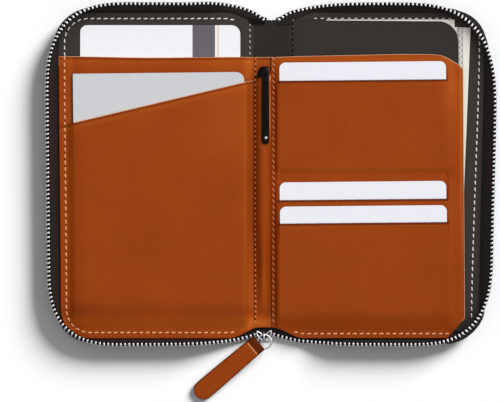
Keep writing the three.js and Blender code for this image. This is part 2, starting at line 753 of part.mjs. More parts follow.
/** Card leaf: one sheet with three slits, its outer top and bottom corners rounded off. */
function cardLeaf() {
  const cornerTop = 12;
  const cornerBottom = 15;
  const topAt = (x) => {
    const past = Math.max(0, x - (leafRightX - cornerTop));
    return leafTopY - (cornerTop - Math.sqrt(cornerTop ** 2 - past ** 2)) * 0.7;
  };
  const bottomAt = (x) => {
    const past = Math.max(0, x - (leafRightX - cornerBottom));
    return Math.max(outlineY(x, -1, 0.6), outlineY(x, -1, 0.6) + past * 0.85);
  };
  const rows = (x) => {
    const edge = bottomAt(x);
    const foot = [-8.7, -5.2, -1.7, -0.4].map((up, i) => Math.max(cardEnds[2] + up, edge + 0.8 * (i + 1)));
    const overCard = [-11.5, -3.6, -2, -0.3, 7.5, 25.5].map((up) => cardEnds[0] + up);
    return [
      ...[edge, ...foot, cardEnds[1] - 0.2, cardEnds[1] + 17.4, slitYs[2]].map((y) => ({ y, tier: 3 })),
      ...[slitYs[2], (slitYs[2] + slitYs[1]) / 2, slitYs[1]].map((y) => ({ y, tier: 2 })),
      ...[slitYs[1], ...overCard, slitYs[0]].map((y) => ({ y, tier: 1 })),
      ...[slitYs[0], (slitYs[0] + topAt(x)) / 2, topAt(x)].map((y) => ({ y, tier: 0 })),
    ];
  };
  const corner = steps(0, Math.PI / 2, 4).map((a) => leafRightX - cornerTop + cornerTop * Math.sin(a));
  const middle = steps(cardLeftX + 12, cardRightX - 4, 4);
  const columns = [leafLeftX, slitLeft, cardLeftX - 0.2, ...middle, cardRightX + 0.2, slitRight, ...corner];
  columns.sort((a, b) => a - b);
  return sheet(columns, rows, leafHeight, stripThick);
}

/** Dark divider between the notes and the card leaf. */
function divider() {
  const corner = 9;
  const topAt = (x) => {
    const past = Math.max(0, x - (dividerRightX - corner));
    const fall = corner - Math.sqrt(Math.max(0, corner ** 2 - past ** 2));
    return Math.min(dividerTopY, outlineY(x, 1, 1)) - fall;
  };
  const rows = (x) => [{ y: outlineY(x, -1, 1), tier: 0 }, { y: topAt(x), tier: 0 }];
  const arc = steps(0, Math.PI / 2, 6).map((a) => dividerRightX - corner + corner * Math.sin(a));
  const columns = [...steps(foldX + foldGap, foldX + dipRun, 4), 50, ...arc];
  return sheet(columns, rows, () => dividerZ, dividerThick);
}

function cards() {
  const heights = [lowCardZ, lowCardZ, highCardZ];
  const shift = [0, 0.15, 0.3];
  return cardTops.map((top, i) => {
    const outline = roundedRect(cardLeftX, cardRightX, top - cardHeight, top, [3, 3, 3, 3]);
    const geometry = plate(outline, heights[i], cardThick, 4).translate(shift[i] - 0.15, 0, 0);
    return piece(`card_${i + 1}`, geometry, whitePlastic);
  });
}

function notes() {
  const right = edgeX - 15.2;
  const top = edgeY - 3.5;
  const front = box(right - noteWidth, right, top - noteHeight, top, frontNoteZ, frontNoteZ + noteThick);
  const halfWidth = noteWidth / 2;
  const halfHeight = noteHeight / 2;
  const rear = box(-halfWidth, halfWidth, -halfHeight, halfHeight, rearNoteZ, rearNoteZ + noteThick);
  rear.rotateZ(-THREE.MathUtils.degToRad(2.3)).translate(right - halfWidth + 5.1, top - halfHeight - 2.8, 0);
  return [piece('note_front', front, notePaper), piece('note_rear', rear, notePaper)];
}

function buildRight() {
  return [piece('divider', divider(), charcoal), piece('card_leaf', cardLeaf(), tan), ...cards(), ...notes()];
}

const organizer = new THREE.Group();
organizer.name = 'travel_document_organizer';
organizer.add(...buildCase(), ...buildZip(), ...buildSpine(), ...buildLeft(), ...buildRight());

export default organizer;
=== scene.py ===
"""Looks of the travel document organizer: leather, cloth, zip, stitching, pen and documents.

All sizes are in millimetres and turned to metres when a mesh is made. The frame is the CAD's: +X across
the open covers, +Y up the page, +Z out of the open folio, the origin on the outer face of the spine.
"""
import logging
from collections.abc import Callable, Iterable, Sequence
from dataclasses import dataclass, field
from enum import Enum
from math import ceil, copysign, cos, exp, pi, radians, sin, sqrt

import bmesh
import bpy
import numpy as np
from mathutils import Matrix, Vector


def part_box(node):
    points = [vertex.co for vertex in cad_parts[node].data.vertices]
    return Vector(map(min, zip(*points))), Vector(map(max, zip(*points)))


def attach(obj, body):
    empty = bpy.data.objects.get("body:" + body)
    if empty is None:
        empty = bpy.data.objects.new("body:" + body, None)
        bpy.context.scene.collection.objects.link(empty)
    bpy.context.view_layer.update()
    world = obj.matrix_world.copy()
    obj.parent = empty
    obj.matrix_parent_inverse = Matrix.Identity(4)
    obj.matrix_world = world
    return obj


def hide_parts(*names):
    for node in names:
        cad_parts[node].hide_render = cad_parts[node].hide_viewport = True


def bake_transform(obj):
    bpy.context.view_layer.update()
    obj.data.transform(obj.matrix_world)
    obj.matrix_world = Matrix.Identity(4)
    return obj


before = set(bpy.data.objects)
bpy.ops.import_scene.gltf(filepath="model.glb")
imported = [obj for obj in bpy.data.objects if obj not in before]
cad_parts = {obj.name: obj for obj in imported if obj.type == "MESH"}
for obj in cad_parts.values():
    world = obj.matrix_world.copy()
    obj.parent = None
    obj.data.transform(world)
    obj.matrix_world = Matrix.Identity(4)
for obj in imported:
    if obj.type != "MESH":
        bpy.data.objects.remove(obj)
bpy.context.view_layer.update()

log = logging.getLogger("organizer")
MM = 0.001
Pair = tuple[float, float]
Point = tuple[float, float, float]
Four = tuple[float, float, float, float]
Face = tuple[int, ...]
Plan = Sequence[Pair]
Height = Callable[[float, float], float]
Piece = bpy.types.Object
Tree = bpy.types.NodeTree
Node = bpy.types.Node
Socket = bpy.types.NodeSocket


# ------------------------------------------------------------------ numbers and shapes
def ease(t: np.ndarray | float) -> np.ndarray | float:
    """Smooth step from 0 to 1 as t goes from 0 to 1."""
    u = np.clip(t, 0.0, 1.0)
    return u * u * (3 - 2 * u)


def bell(v: np.ndarray | float, middle: float, width: float) -> np.ndarray | float:
    """Bell curve of height 1 about middle, falling to about a third at width from it."""
    return np.exp(-((v - middle) / width) ** 2)


def spread(low: float, high: float, step: float) -> np.ndarray:
    """Even values from low to high, no further apart than step."""
    return np.linspace(low, high, max(2, int(ceil(abs(high - low) / step)) + 1))


def mm_box(node: str) -> tuple[np.ndarray, np.ndarray]:
    """Lowest and highest corner of a CAD node in millimetres."""
    low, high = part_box(node)
    return np.array(low) / MM, np.array(high) / MM


@dataclass(frozen=True)
class Outline:
    """Plan outline of the open case, taken from the CAD's covers and spine."""

    edge_x: float = field(default_factory=lambda: mm_box("cover_right")[1][0])
    edge_y: float = field(default_factory=lambda: mm_box("cover_right")[1][1])
    spine_top: float = field(default_factory=lambda: mm_box("spine_cover")[1][1])
    spine_foot: float = 78.4
    corner: float = 15.0
    fold_x: float = 11.2
    foot_shift: float = 2.7  # how far left of the spine's middle the notch at the foot lies

    def y(self, x: float, end: int, inset: float = 0.0) -> float:
        """Top (end 1) or bottom (end -1) edge of the case.

        Args:
            x: where across the case.
            end: 1 for the top edge, -1 for the bottom.
            inset: how far the outline is drawn in.

        Returns:
            The edge's y.
        """
        spine = self.spine_top if end > 0 else self.spine_foot
        start = self.fold_x - 1 if end > 0 else self.fold_x - 8
        across = abs(x) if end > 0 else abs(x + self.foot_shift)
        run = 13.0 if end > 0 else 16.0
        dip = (self.edge_y - spine) * (1 - ease((across - start) / run))
        radius = self.corner - inset
        past = min(max(0.0, abs(x) - (self.edge_x - self.corner)), radius)
        return end * (self.edge_y - inset - dip - (radius - sqrt(radius**2 - past**2)))

    def columns(self, side: int, inset: float, start: float, step: float = 2.5) -> np.ndarray:
        """Columns of a cover, closer together at the fold and the corner.

        Args:
            side: -1 for the left cover, 1 for the right.
            inset: how far the outline is drawn in.
            start: distance of the first column from the spine's middle.
            step: spacing on the flat of the cover.

        Returns:
            Values of x from start out to the edge.
        """
        first = self.edge_x - self.corner
        radius = self.corner - inset
        arc = first + radius * np.sin(np.linspace(0, pi / 2, 10))
        near = spread(start, self.fold_x + 9, 0.9)
        return side * np.concatenate([near, spread(self.fold_x + 9, first, step)[1:], arc[1:]])


def drawn(rows: np.ndarray, low: float, high: float, reach: float) -> np.ndarray:
    """Draws the ends of a set of rows to new limits and leaves its middle where it is.

    Args:
        rows: y of the rows, rising.
        low: where the first row goes.
        high: where the last row goes.
        reach: length over which each end is drawn.

    Returns:
        The new rows.
    """
    first, last = rows[0], rows[-1]
    foot = low + (rows - first) * (first + reach - low) / reach
    head = high - (last - rows) * (high - last + reach) / reach
    return np.where(rows < first + reach, foot, np.where(rows > last - reach, head, rows))


# ------------------------------------------------------------------ nodes and materials
def linear(code: str) -> Four:
    """Linear colour of an sRGB hex code such as 96400f."""
    values = [int(code[i:i + 2], 16) / 255 for i in (0, 2, 4)]
    return (*[v / 12.92 if v <= 0.04045 else ((v + 0.055) / 1.055) ** 2.4 for v in values], 1.0)


def add(tree: Tree, kind: str, settings: dict | None = None, links: dict | None = None) -> Node:
    """Adds a node.

    Args:
        tree: the tree it goes into.
        kind: the node's type name.
        settings: values by attribute name, or by input name or number.
        links: output sockets or values by input name or number.

    Returns:
        The node.
    """
    node = tree.nodes.new(kind)
    for key, value in (settings or {}).items():
        if isinstance(key, str) and hasattr(node, key):
            setattr(node, key, value)
        else:
            node.inputs[key].default_value = value
    for key, source in (links or {}).items():
        tree.links.new(source.socket if isinstance(source, Value) else source, node.inputs[key])
    return node


@dataclass(frozen=True)
class Value:
    """A node's output that adds, subtracts and multiplies like a number."""

    tree: Tree
    socket: Socket

    def through(self, operation: str, *others: "Value | float") -> "Value":
        """Sends this value and others through a Math node.

        Args:
            operation: what the node does.
            others: its further inputs in order.

        Returns:
            The result.
        """
        inputs = dict(enumerate((self, *others)))
        links = {i: v for i, v in inputs.items() if isinstance(v, Value)}
        numbers = {i: v for i, v in inputs.items() if i not in links}
        node = add(self.tree, "ShaderNodeMath", {"operation": operation, **numbers}, links)
        return Value(self.tree, node.outputs[0])

    def __add__(self, other: "Value | float") -> "Value":
        """Sum."""
        return self.through("ADD", other)

    def __sub__(self, other: "Value | float") -> "Value":
        """Difference."""
        return self.through("SUBTRACT", other)

    def __mul__(self, other: "Value | float") -> "Value":
        """Product."""
        return self.through("MULTIPLY", other)

    def within(self, low: float, high: float) -> "Value":
        """1 where this value in metres lies between low and high millimetres, else 0."""
        return self.through("GREATER_THAN", low * MM) * self.through("LESS_THAN", high * MM)


@dataclass
class Canvas:
    """The shader of one finish and what its pattern is made with."""

    tree: Tree
    shader: Node
    place: Node = field(init=False)

    def __post_init__(self) -> None:
        """Adds the node that knows a point's place."""
        self.place = add(self.tree, "ShaderNodeTexCoord")

    def axes(self, source: str = "Object") -> tuple[Value, Value]:
        """X and Y of a point on the object, or along and across its UV map."""
        parts = add(self.tree, "ShaderNodeSeparateXYZ", links={"Vector": self.place.outputs[source]}).outputs
        return Value(self.tree, parts["X"]), Value(self.tree, parts["Y"])

    def texture(self, kind: str, size: float, settings: dict | None = None, output: str = "Fac") -> Value:
        """Adds a texture that is fixed to the object.

        Args:
            kind: Noise, Voronoi or Wave.
            size: width of its features in millimetres.
            settings: what else the node is set to.
            output: which of its outputs is used.

        Returns:
            The output.
        """
        node = add(self.tree, f"ShaderNodeTex{kind}", {"Scale": 1 / (size * MM), **(settings or {})},
                   {"Vector": self.place.outputs["Object"]})
        return Value(self.tree, node.outputs[output])

    def noise(self, size: float, detail: float = 2.0, roughness: float = 0.5) -> Value:
        """Noise with features about size millimetres wide."""
        return self.texture("Noise", size, {"Detail": detail, "Roughness": roughness})

    def tone(self) -> Value:
        """The painted light and shade that a piece's mesh holds as its tone."""
        held = add(self.tree, "ShaderNodeAttribute", {"attribute_name": "tone"})
        return Value(self.tree, held.outputs["Fac"])

    def feed(self, name: str, source: Socket) -> None:
        """Links a socket to one of the shader's inputs."""
        self.tree.links.new(source, self.shader.inputs[name])

    def shades(self, code: str, dark: float, light: float, share: Value) -> Socket:
        """Colour between two shades of a base colour.

        Args:
            code: the base colour.
            dark: the darker shade as a share of it.
            light: the lighter shade as a share of it.
            share: where between them a point lies.

        Returns:
            The colour.
        """
        low, high = ((*[min(1.0, c * k) for c in linear(code)[:3]], 1) for k in (dark, light))
        return add(self.tree, "ShaderNodeMix", {"data_type": "RGBA", 6: low, 7: high}, {0: share}).outputs[2]

    def inked(self, paper: Socket, mask: Value, code: str) -> Socket:
        """The paper's colour with an ink laid over it by mask."""
        mix = add(self.tree, "ShaderNodeMix", {"data_type": "RGBA", 7: linear(code)}, {0: mask, 6: paper})
        return mix.outputs[2]

    def gloss(self, noise: Value, smooth: float, rough: float, start: float = 0.3) -> None:
        """Spreads the roughness over a noise's middle range.

        Args:
            noise: value that picks the roughness.
            smooth: roughness where it is low.
            rough: roughness where it is high.
            start: where the range begins.
        """
        spread_out = add(self.tree, "ShaderNodeMapRange", {
            "From Min": start, "From Max": 0.7, "To Min": smooth, "To Max": rough}, {"Value": noise})
        self.feed("Roughness", spread_out.outputs["Result"])

    def bump(self, height: Value, depth: float) -> None:
        """Lets height, 0 to 1, raise the surface by depth millimetres."""
        self.feed("Normal", add(self.tree, "ShaderNodeBump", {"Distance": depth * MM, "Strength": 1.0},
                                {"Height": height}).outputs["Normal"])


def ramp(value: Value, stops: Sequence[tuple[float, str]]) -> Socket:
    """Colour ramp over a value.

    Args:
        value: what the ramp runs over.
        stops: position and hex colour of each stop.

    Returns:
        The colour.
    """
    node = add(value.tree, "ShaderNodeValToRGB", links={"Fac": value})
    elements = node.color_ramp.elements
    while len(elements) < len(stops):
        elements.new(0.5)
    for element, (position, code) in zip(elements, stops):
        element.position = position
        element.color = linear(code)
    return node.outputs["Color"]


@dataclass(frozen=True)
class Finish:
    """A finish with its base shader; the kinds below have their own pattern."""

    name: str
    colour: str
    roughness: float = 0.5
    metallic: float = 0.0
    ior: float = 1.5
    specular: float = 0.25

    def material(self) -> bpy.types.Material:
        """Makes the material of this finish once.

        Returns:
            The material.
        """
        if self.name in bpy.data.materials:
            return bpy.data.materials[self.name]
        made = bpy.data.materials.new(self.name)
        made.use_nodes = True
        made.diffuse_color = linear(self.colour)
        shader = made.node_tree.nodes["Principled BSDF"]
        sockets = {"Base Color": linear(self.colour), "Roughness": self.roughness, "Metallic": self.metallic}
        if not self.metallic:
            sockets.update({"IOR": self.ior, "Specular IOR Level": self.specular})
        for socket, value in sockets.items():
            shader.inputs[socket].default_value = value
        self.pattern(Canvas(made.node_tree, shader))
        return made

    def pattern(self, canvas: Canvas) -> None:
        """Adds what varies over the surface: a faint unevenness of the gloss."""
        canvas.gloss(canvas.noise(6, 3.0), self.roughness * 0.85, min(1.0, self.roughness * 1.15))


@dataclass(frozen=True)
class Leather(Finish):
    """Vegetable-tanned cowhide with an aniline finish: a warm uneven brown under fine pebbled grain.

    The tone of a piece's mesh is painted light and shade: darker where shade falls, lighter where light
    catches.
    """

    # The dark and light stops serve both the uneven dye and the tone's painted shade and light.
    dark: str = "481802"
    light: str = "bc5c1c"
    painted_highlight: str = "eab48c"  # lightest shade, reached only by the tone's painted highlights
    grain: float = 1.1  # pebble width; the real 0.4 mm is too fine to show
    cloudy: float = 0.15  # how far the cloudy dye, the mottle and the pebbles shift the shade
    mottled: float = 0.07
    pebbled: float = 0.05
    plain: float = 0.405  # the shade without them
    relief: float = 0.07

    def pattern(self, canvas: Canvas) -> None:
        """Cloudy dye, pebbles with dark pores, and the painted light and shade that the piece's tone holds.

        Args:
            canvas: the nodes that it is drawn with.
        """
        cloud = canvas.noise(22, 5.0, 0.6)
        mottle = canvas.noise(2.2, 4.0, 0.65)
        pebble = canvas.texture("Voronoi", self.grain, output="Distance")
        dye = cloud * self.cloudy + mottle * self.mottled
        level = dye - pebble * self.pebbled + (canvas.tone() + self.plain)
        # The ramp's top stop is a painted highlight; the tone carries painted light and shade.
        canvas.feed("Base Color", ramp(
            level, [(0.0, self.dark), (0.5, self.colour), (0.92, self.light), (1.0, self.painted_highlight)]))
        canvas.bump(pebble * -0.6 + (mottle * 0.8 + canvas.noise(0.5) * 0.3), self.relief)
        canvas.gloss(mottle, self.roughness - 0.08, self.roughness + 0.1)


class Weave(Enum):
    """How threads run in a cloth."""

    PLAIN = "plain"
    HERRINGBONE = "herringbone"


@dataclass(frozen=True)
class Cloth(Finish):
    """Woven polyester: rows of matt threads with a soft bloom at grazing light."""

    specular: float = 0.1
    thread: float = 0.7
    weave: Weave = Weave.PLAIN
    contrast: float = 0.5
    along_uv: bool = False
    shades: Pair = (0.62, 1.35)  # darkest and lightest thread, as shares of the colour
    turn: float = 3.5  # how far across a herringbone tape its threads turn back
    relief: float = 0.12
    bloom: float = 0.03

    def pattern(self, canvas: Canvas) -> None:
        """Crossed threads, or slanting ones that turn back at a tape's middle; the tone adds painted shade.

        Args:
            canvas: the nodes that it is drawn with.
        """
        along, across = canvas.axes("UV" if self.along_uv else "Object")
        turns = 2 * pi / (self.thread * (1.0 if self.along_uv else MM))
        if self.weave is Weave.HERRINGBONE:
            slant = along + (across - self.turn).through("ABSOLUTE")
            weft = (slant * turns).through("SINE")
        else:
            weft = (along * turns).through("SINE") * (across * turns).through("SINE")
        threads = weft.through("MULTIPLY_ADD", 0.5, 0.5 if self.contrast < 1 else 0.15)
        fuzz = canvas.noise(0.8, 3.0).through("MULTIPLY_ADD", 0.5, canvas.tone())
        shade = threads * self.contrast + fuzz
        canvas.feed("Base Color", canvas.shades(self.colour, *self.shades, shade))
        canvas.bump(shade, self.relief)
        canvas.shader.inputs["Sheen Weight"].default_value = self.bloom
        canvas.shader.inputs["Sheen Roughness"].default_value = 0.5


@dataclass(frozen=True)
class Twist(Finish):
    """Waxed polyester sewing thread: its plies show as fine slanting ridges."""

    specular: float = 0.15
    ply: float = 3.15  # a full turn of the plies

    def pattern(self, canvas: Canvas) -> None:
        """Slanting ridges of the plies and small changes of shade from stitch to stitch.

        Args:
            canvas: the nodes that it is drawn with.
        """
        ridges = canvas.texture("Wave", self.ply, {"Distortion": 0.4, "bands_direction": "DIAGONAL"})
        shade = ridges * 0.4 + canvas.noise(3) * 0.6
        canvas.feed("Base Color", canvas.shades(self.colour, 0.72, 1.2, shade))
        canvas.bump(ridges, 0.08)


@dataclass(frozen=True)
class Plated(Finish):
    """Nickel plate, tumbled and lightly scratched: bright with a soft grey falloff."""

    def pattern(self, canvas: Canvas) -> None:
        """Tiny scratches and fingermarks in the gloss.

        Args:
            canvas: the nodes that it is drawn with.
        """
        marks = canvas.noise(0.9, 5.0)
        canvas.gloss(marks, self.roughness * 0.7, self.roughness * 1.5, 0.35)
        canvas.bump(marks, 0.02)


@dataclass(frozen=True)
class Paper(Finish):
    """Uncoated or calendered paper: almost flat colour with faint fibre and a soft tooth."""

    fibre: float = 1.4

    def pattern(self, canvas: Canvas) -> None:
        """Faint fibre flecks, then whatever is printed on it.

        Args:
            canvas: the nodes that it is drawn with.
        """
        flecks = canvas.noise(self.fibre, 6.0, 0.7)
        paper = canvas.shades(self.colour, 0.93, 1.04, flecks)
        canvas.feed("Base Color", self.printed(canvas, paper))
        canvas.bump(flecks, 0.03)

    def printed(self, canvas: Canvas, paper: Socket) -> Socket:
        """Colour of the printed sheet; plain paper is left as it is."""
        return paper


@dataclass(frozen=True)
class StripedTicket(Paper):
    """Thin white card with a plain grey band and a pale peach rule down its right third."""

    band_x: Pair = (-40.6, -29.0)
    rule_x: Pair = (-28.0, -26.9)
    band_ink: str = "67616a"
    rule_ink: str = "e6d6cf"

    def printed(self, canvas: Canvas, paper: Socket) -> Socket:
        """Grey band and peach rule.

        Args:
            canvas: the nodes that it is drawn with.
            paper: colour of the bare paper.

        Returns:
            Colour of the printed paper.
        """
        across = canvas.axes()[0]
        grey = canvas.inked(paper, across.within(*self.band_x), self.band_ink)
        return canvas.inked(grey, across.within(*self.rule_x), self.rule_ink)


@dataclass(frozen=True)
class WavyNote(Paper):
    """Cream cotton paper with a plain grey strip and one pale wave beside its right long edge."""

    edge_x: float = 0.0
    strip: Pair = (-7.0, -3.8)  # from the edge, as the wave's middle is
    wave_at: float = -5.1
    wave_length: float = 3.1
    swing: float = 0.55
    line: float = 0.32  # half the width of the wave's line
    strength: float = 0.6
    ink: str = "74777d"

    def printed(self, canvas: Canvas, paper: Socket) -> Socket:
        """The grey strip, left bare along a sine line.

        Args:
            canvas: the nodes that it is drawn with.
            paper: colour of the bare paper.

        Returns:
            Colour of the printed paper.
        """
        x, y = canvas.axes()
        strip = x.within(self.edge_x + self.strip[0], self.edge_x + self.strip[1])
        wave = (y * (2 * pi / (self.wave_length * MM))).through("SINE") * (self.swing * MM)
        off = (x - wave - (self.edge_x + self.wave_at) * MM).through("ABSOLUTE")
        ground = off.through("GREATER_THAN", self.line * MM) * self.strength
        return canvas.inked(paper, strip * ground, self.ink)


TAN = Leather("tan_cowhide", "99400c", roughness=0.5, ior=1.48, specular=0.06)
EDGE = Finish("painted_leather_edge", "3a1607", roughness=0.42, specular=0.2)
# Pale edge colour: a painted highlight where light catches the leather's edges.
HIGHLIT_EDGE = Finish("highlit_leather_edge", "edbb94", roughness=0.6, specular=0.1)
LINING = Cloth("charcoal_lining_twill", "3b3632", roughness=0.92, thread=0.9)
LINING_EDGE = Finish("turned_lining_edge", "2b2724", roughness=0.9)
DIVIDER = Cloth("charcoal_divider_twill", "363230", roughness=0.9, thread=0.9)
TAPE = Cloth("woven_zip_tape", "2e2623", roughness=0.95, thread=1.0, weave=Weave.HERRINGBONE, contrast=1.0,
             along_uv=True, shades=(0.12, 2.0))
TAPE_RAISED = Cloth("herringbone_zip_tape", "2c2624", roughness=0.95, thread=1.3, weave=Weave.HERRINGBONE,
                    contrast=1.0, along_uv=True, shades=(0.12, 2.1))
# Nickel darkened as painted shade, for the slider's dish.
DARK_NICKEL = Plated("shaded_nickel", "2a2a2b", roughness=0.45, metallic=1.0)
BEAD = Finish("black_tape_cord", "0b0908", roughness=0.8, specular=0.05)
NICKEL = Plated("nickel_plated_zinc", "e4e4e6", roughness=0.26, metallic=1.0)
TAN_THREAD = Twist("tan_waxed_thread", "f8a878", roughness=0.6)
# A darker copy of the tan thread, for the seam left of the pen.
DARKER_TAN_THREAD = Twist("darker_tan_thread", "cf8558", roughness=0.6)
SOFT_THREAD = Twist("soft_tan_thread", "e6996a", roughness=0.6)
CREAM_THREAD = Twist("cream_waxed_thread", "fcf7ee", roughness=0.6)
GREY_THREAD = Twist("grey_waxed_thread", "cdc7b8", roughness=0.6)
ORANGE_THREAD = Twist("light_orange_thread", "e0a06c", roughness=0.55)
# Needle holes: flat dark slivers of painted shade where the holes stand open.
NEEDLE_HOLE_SHADE = Finish("needle_hole", "180b06", roughness=0.9, specular=0.03)
LEATHER_HOLE_SHADE = Finish("leather_needle_hole", "431505", roughness=0.9, specular=0.03)
LACQUER = Finish("black_pen_lacquer", "060607", roughness=0.16, ior=1.52, specular=0.1)
CARD_PLASTIC = Finish("white_pvc_card", "eeeef5", roughness=0.38, ior=1.53)
TICKET_CARD = StripedTicket("striped_ticket_card", "f6f5f9", roughness=0.75)
PASSPORT_CARD = Paper("silver_grey_cover_card", "cfd0d3", roughness=0.5, fibre=0.8)
PAGE_PAPER = Paper("passport_leaves", "e7e2d6", roughness=0.9)
BOARD = Paper("grey_board", "8a8478", roughness=0.9)


# ------------------------------------------------------------------ meshes
def outward(points: np.ndarray, edges: Sequence[tuple[int, int]]) -> dict[int, np.ndarray]:
    """Direction in plan that points away from the sheet at each vertex of its rim.

    Args:
        points: the sheet's vertices.
        edges: rim edges, each with the sheet on its left.

    Returns:
        A unit vector for every rim vertex.
    """
    total: dict[int, np.ndarray] = {}
    for a, b in edges:
        run = points[b] - points[a]
        side = np.array([run[1], -run[0], 0.0])
        side /= max(1e-9, float(np.linalg.norm(side)))
        for vertex in (a, b):
            total[vertex] = total.get(vertex, np.zeros(3)) + side
    return {v: s / max(1e-9, float(np.linalg.norm(s))) for v, s in total.items()}


def linked(name: str, data: bpy.types.ID) -> Piece:
    """Makes a new object of the scene.

    Args:
        name: its name.
        data: the data that it holds.

    Returns:
        The object.
    """
    made = bpy.data.objects.new(name, data)
    bpy.context.scene.collection.objects.link(made)
    return made


def toned(made: Piece, tones: Sequence[float]) -> None:
    """Keeps a tone of painted light and shade for each vertex, which the leather's and the cloth's patterns
    read.
    """
    made.data.attributes.new("tone", "FLOAT", "POINT").data.foreach_set("value", tones)


def between_rings(low: int, high: int, count: int) -> list[Face]:
    """Faces between two rings of count vertices, the first of them numbered low and high."""
    return [(low + i, low + (i + 1) % count, high + (i + 1) % count, high + i) for i in range(count)]


def mesh_object(name: str, points: Sequence[Point], faces: Sequence[Sequence[int]],
                finishes: Sequence[Finish], slots: Sequence[int] | None = None) -> Piece:
    """Makes an object from millimetre points.

    Args:
        name: its name.
        points: vertices in millimetres.
        faces: vertex numbers of each face, counter-clockwise from outside.
        finishes: its materials in order.
        slots: number of the material of each face; all the first when left out.

    Returns:
        The object, smooth shaded and linked to the scene.
    """
    mesh = bpy.data.meshes.new(name)
    mesh.from_pydata((np.asarray(points) * MM).tolist(), [], [list(map(int, f)) for f in faces])
    for finish in finishes:
        mesh.materials.append(finish.material())
    if slots is not None:
        mesh.polygons.foreach_set("material_index", list(slots))
    mesh.polygons.foreach_set("use_smooth", [True] * len(mesh.polygons))
    mesh.update()
    log.info("%s: %d faces", name, len(mesh.polygons))
    return linked(name, mesh)


def sharpen(made: Piece, degrees: float = 40.0) -> Piece:
    """Splits the shading at edges sharper than an angle; returns the object."""
    made.data.set_sharp_from_angle(angle=radians(degrees))
    return made


@dataclass
class Sheet:
    """A sheet of leather, cloth or paper: a top surface thickened downward and closed by a rounded edge."""

    name: str
    finish: Finish
    edge: Finish
    thick: float
    swell: float = 0.14  # how far the edge rounds out
    points: list[Point] = field(default_factory=list)
    faces: list[Face] = field(default_factory=list)
    tones: list[float] = field(default_factory=list)
    flush: float | None = None  # x of an edge that meets another sheet and stays flat
    pale: Callable[[float, float], bool] | None = None  # where the edge shows a pale painted highlight instead of its dark edge paint

    def vertex(self, x: float, y: float, z: float, tone: float = 0.0) -> int:
        """Adds a vertex to the top surface.

        Args:
            x: its x.
            y: its y.
            z: its height.
            tone: painted light or shade there.

        Returns:
            Its number.
        """
        self.points.append((x, y, z))
        self.tones.append(tone)
        return len(self.points) - 1

    def grid(self, columns: Iterable[float], rows: Callable[[float], np.ndarray],
             top: Height,
             tone: Height = lambda x, y: 0.0,
             shift: Height = lambda x, y: 0.0) -> "Sheet":
        """Fills the top surface with a grid.

        Args:
            columns: x of the columns in rising order.
            rows: y of the rows of the column at x, rising, as many in every column.
            top: height of the surface.
            tone: painted light or shade there.
            shift: how far a vertex moves across from its column.

        Returns:
            The sheet itself.
        """
        lines = [[self.vertex(x + shift(x, y), y, top(x, y), tone(x, y)) for y in rows(x)] for x in columns]
        for near, far in zip(lines, lines[1:]):
            for i in range(len(near) - 1):
                self.faces.append((near[i], far[i], far[i + 1], near[i + 1]))
        return self

    def rim(self) -> list[tuple[int, int]]:
        """Edges that belong to one face only, each with the sheet on its left.

        Returns:
            Pairs of vertex numbers.
        """
        seen: set[tuple[int, int]] = set()
        for face in self.faces:
            seen.update(zip(face, face[1:] + face[:1]))
        return [edge for edge in seen if (edge[1], edge[0]) not in seen]

    def build(self) -> Piece:
        """Thickens and closes the sheet.

        Returns:
            The object.
        """
        top = np.array(self.points)
        rim = sorted(self.rim())
        away = outward(top, rim)
        count = len(top)
        bottom = top - [0, 0, self.thick]
        rings: dict[tuple[int, int], int] = {}
        extra: list[np.ndarray] = []
        extra_tones: list[float] = []
        levels = (0.14, 0.5, 0.86)
        for level, share in enumerate(levels):
            out = self.swell * (1.0 if level == 1 else 0.72)
            for vertex, side in away.items():
                rings[level, vertex] = 2 * count + len(extra)
                met = self.flush is not None and abs(top[vertex][0] - self.flush) < 1e-6
                extra.append(top[vertex] - [0, 0, self.thick * share] + side * (0.0 if met else out))
                extra_tones.append(self.tones[vertex])
        faces: list[Face] = list(self.faces)
        faces += [tuple(v + count for v in reversed(face)) for face in self.faces]
        slots = [0] * len(faces)
        for a, b in rim:
            ladder_a = [a, *(rings[level, a] for level in range(3)), a + count]
            ladder_b = [b, *(rings[level, b] for level in range(3)), b + count]
            for level in range(4):
                faces.append((ladder_b[level], ladder_a[level], ladder_a[level + 1], ladder_b[level + 1]))
                # Edges marked pale take the painted highlight.
                slots.append(2 if self.pale and self.pale(*top[a][:2]) else 1)
        everything = np.concatenate([top, bottom, np.array(extra)])
        finishes = (self.finish, self.edge, HIGHLIT_EDGE) if self.pale else (self.finish, self.edge)
        made = mesh_object(self.name, everything, faces, finishes, slots)
        self.mark(made, rim, count)
        toned(made, self.tones + self.tones + extra_tones)
        return made

    def mark(self, made: Piece, rim: Sequence[tuple[int, int]], count: int) -> None:
        """Keeps the shading of the faces apart from that of the edge.

        Args:
            made: the sheet's object.
            rim: edges of its rim.
            count: number of vertices of the top surface.
        """
        creases = {frozenset(edge) for edge in rim} | {frozenset((a + count, b + count)) for a, b in rim}
        sharp = [frozenset(edge.vertices) in creases for edge in made.data.edges]
        layer = made.data.attributes.new("sharp_edge", "BOOLEAN", "EDGE")
        layer.data.foreach_set("value", sharp)


def rounded_outline(x0: float, x1: float, y0: float, y1: float, radii: Sequence[float],
                    count: int = 6) -> list[Pair]:
    """Rectangle with rounded corners.

    Args:
        x0: its left side.
        x1: its right side.
        y0: its lower side.
        y1: its upper side.
        radii: radius of each corner, counter-clockwise from the lower left.
        count: steps round each corner.

    Returns:
        Points counter-clockwise from the lower left.
    """
    corners = [(x0, y0, 180), (x1, y0, 270), (x1, y1, 0), (x0, y1, 90)]
    points = []
    for (x, y, start), radius in zip(corners, radii):
        cx = x + (radius if x == x0 else -radius)
        cy = y + (radius if y == y0 else -radius)
        for step in range(count + 1):
            turn = radians(start + 90 * step / count)
            points.append((cx + radius * cos(turn), cy + radius * sin(turn)))
    return points


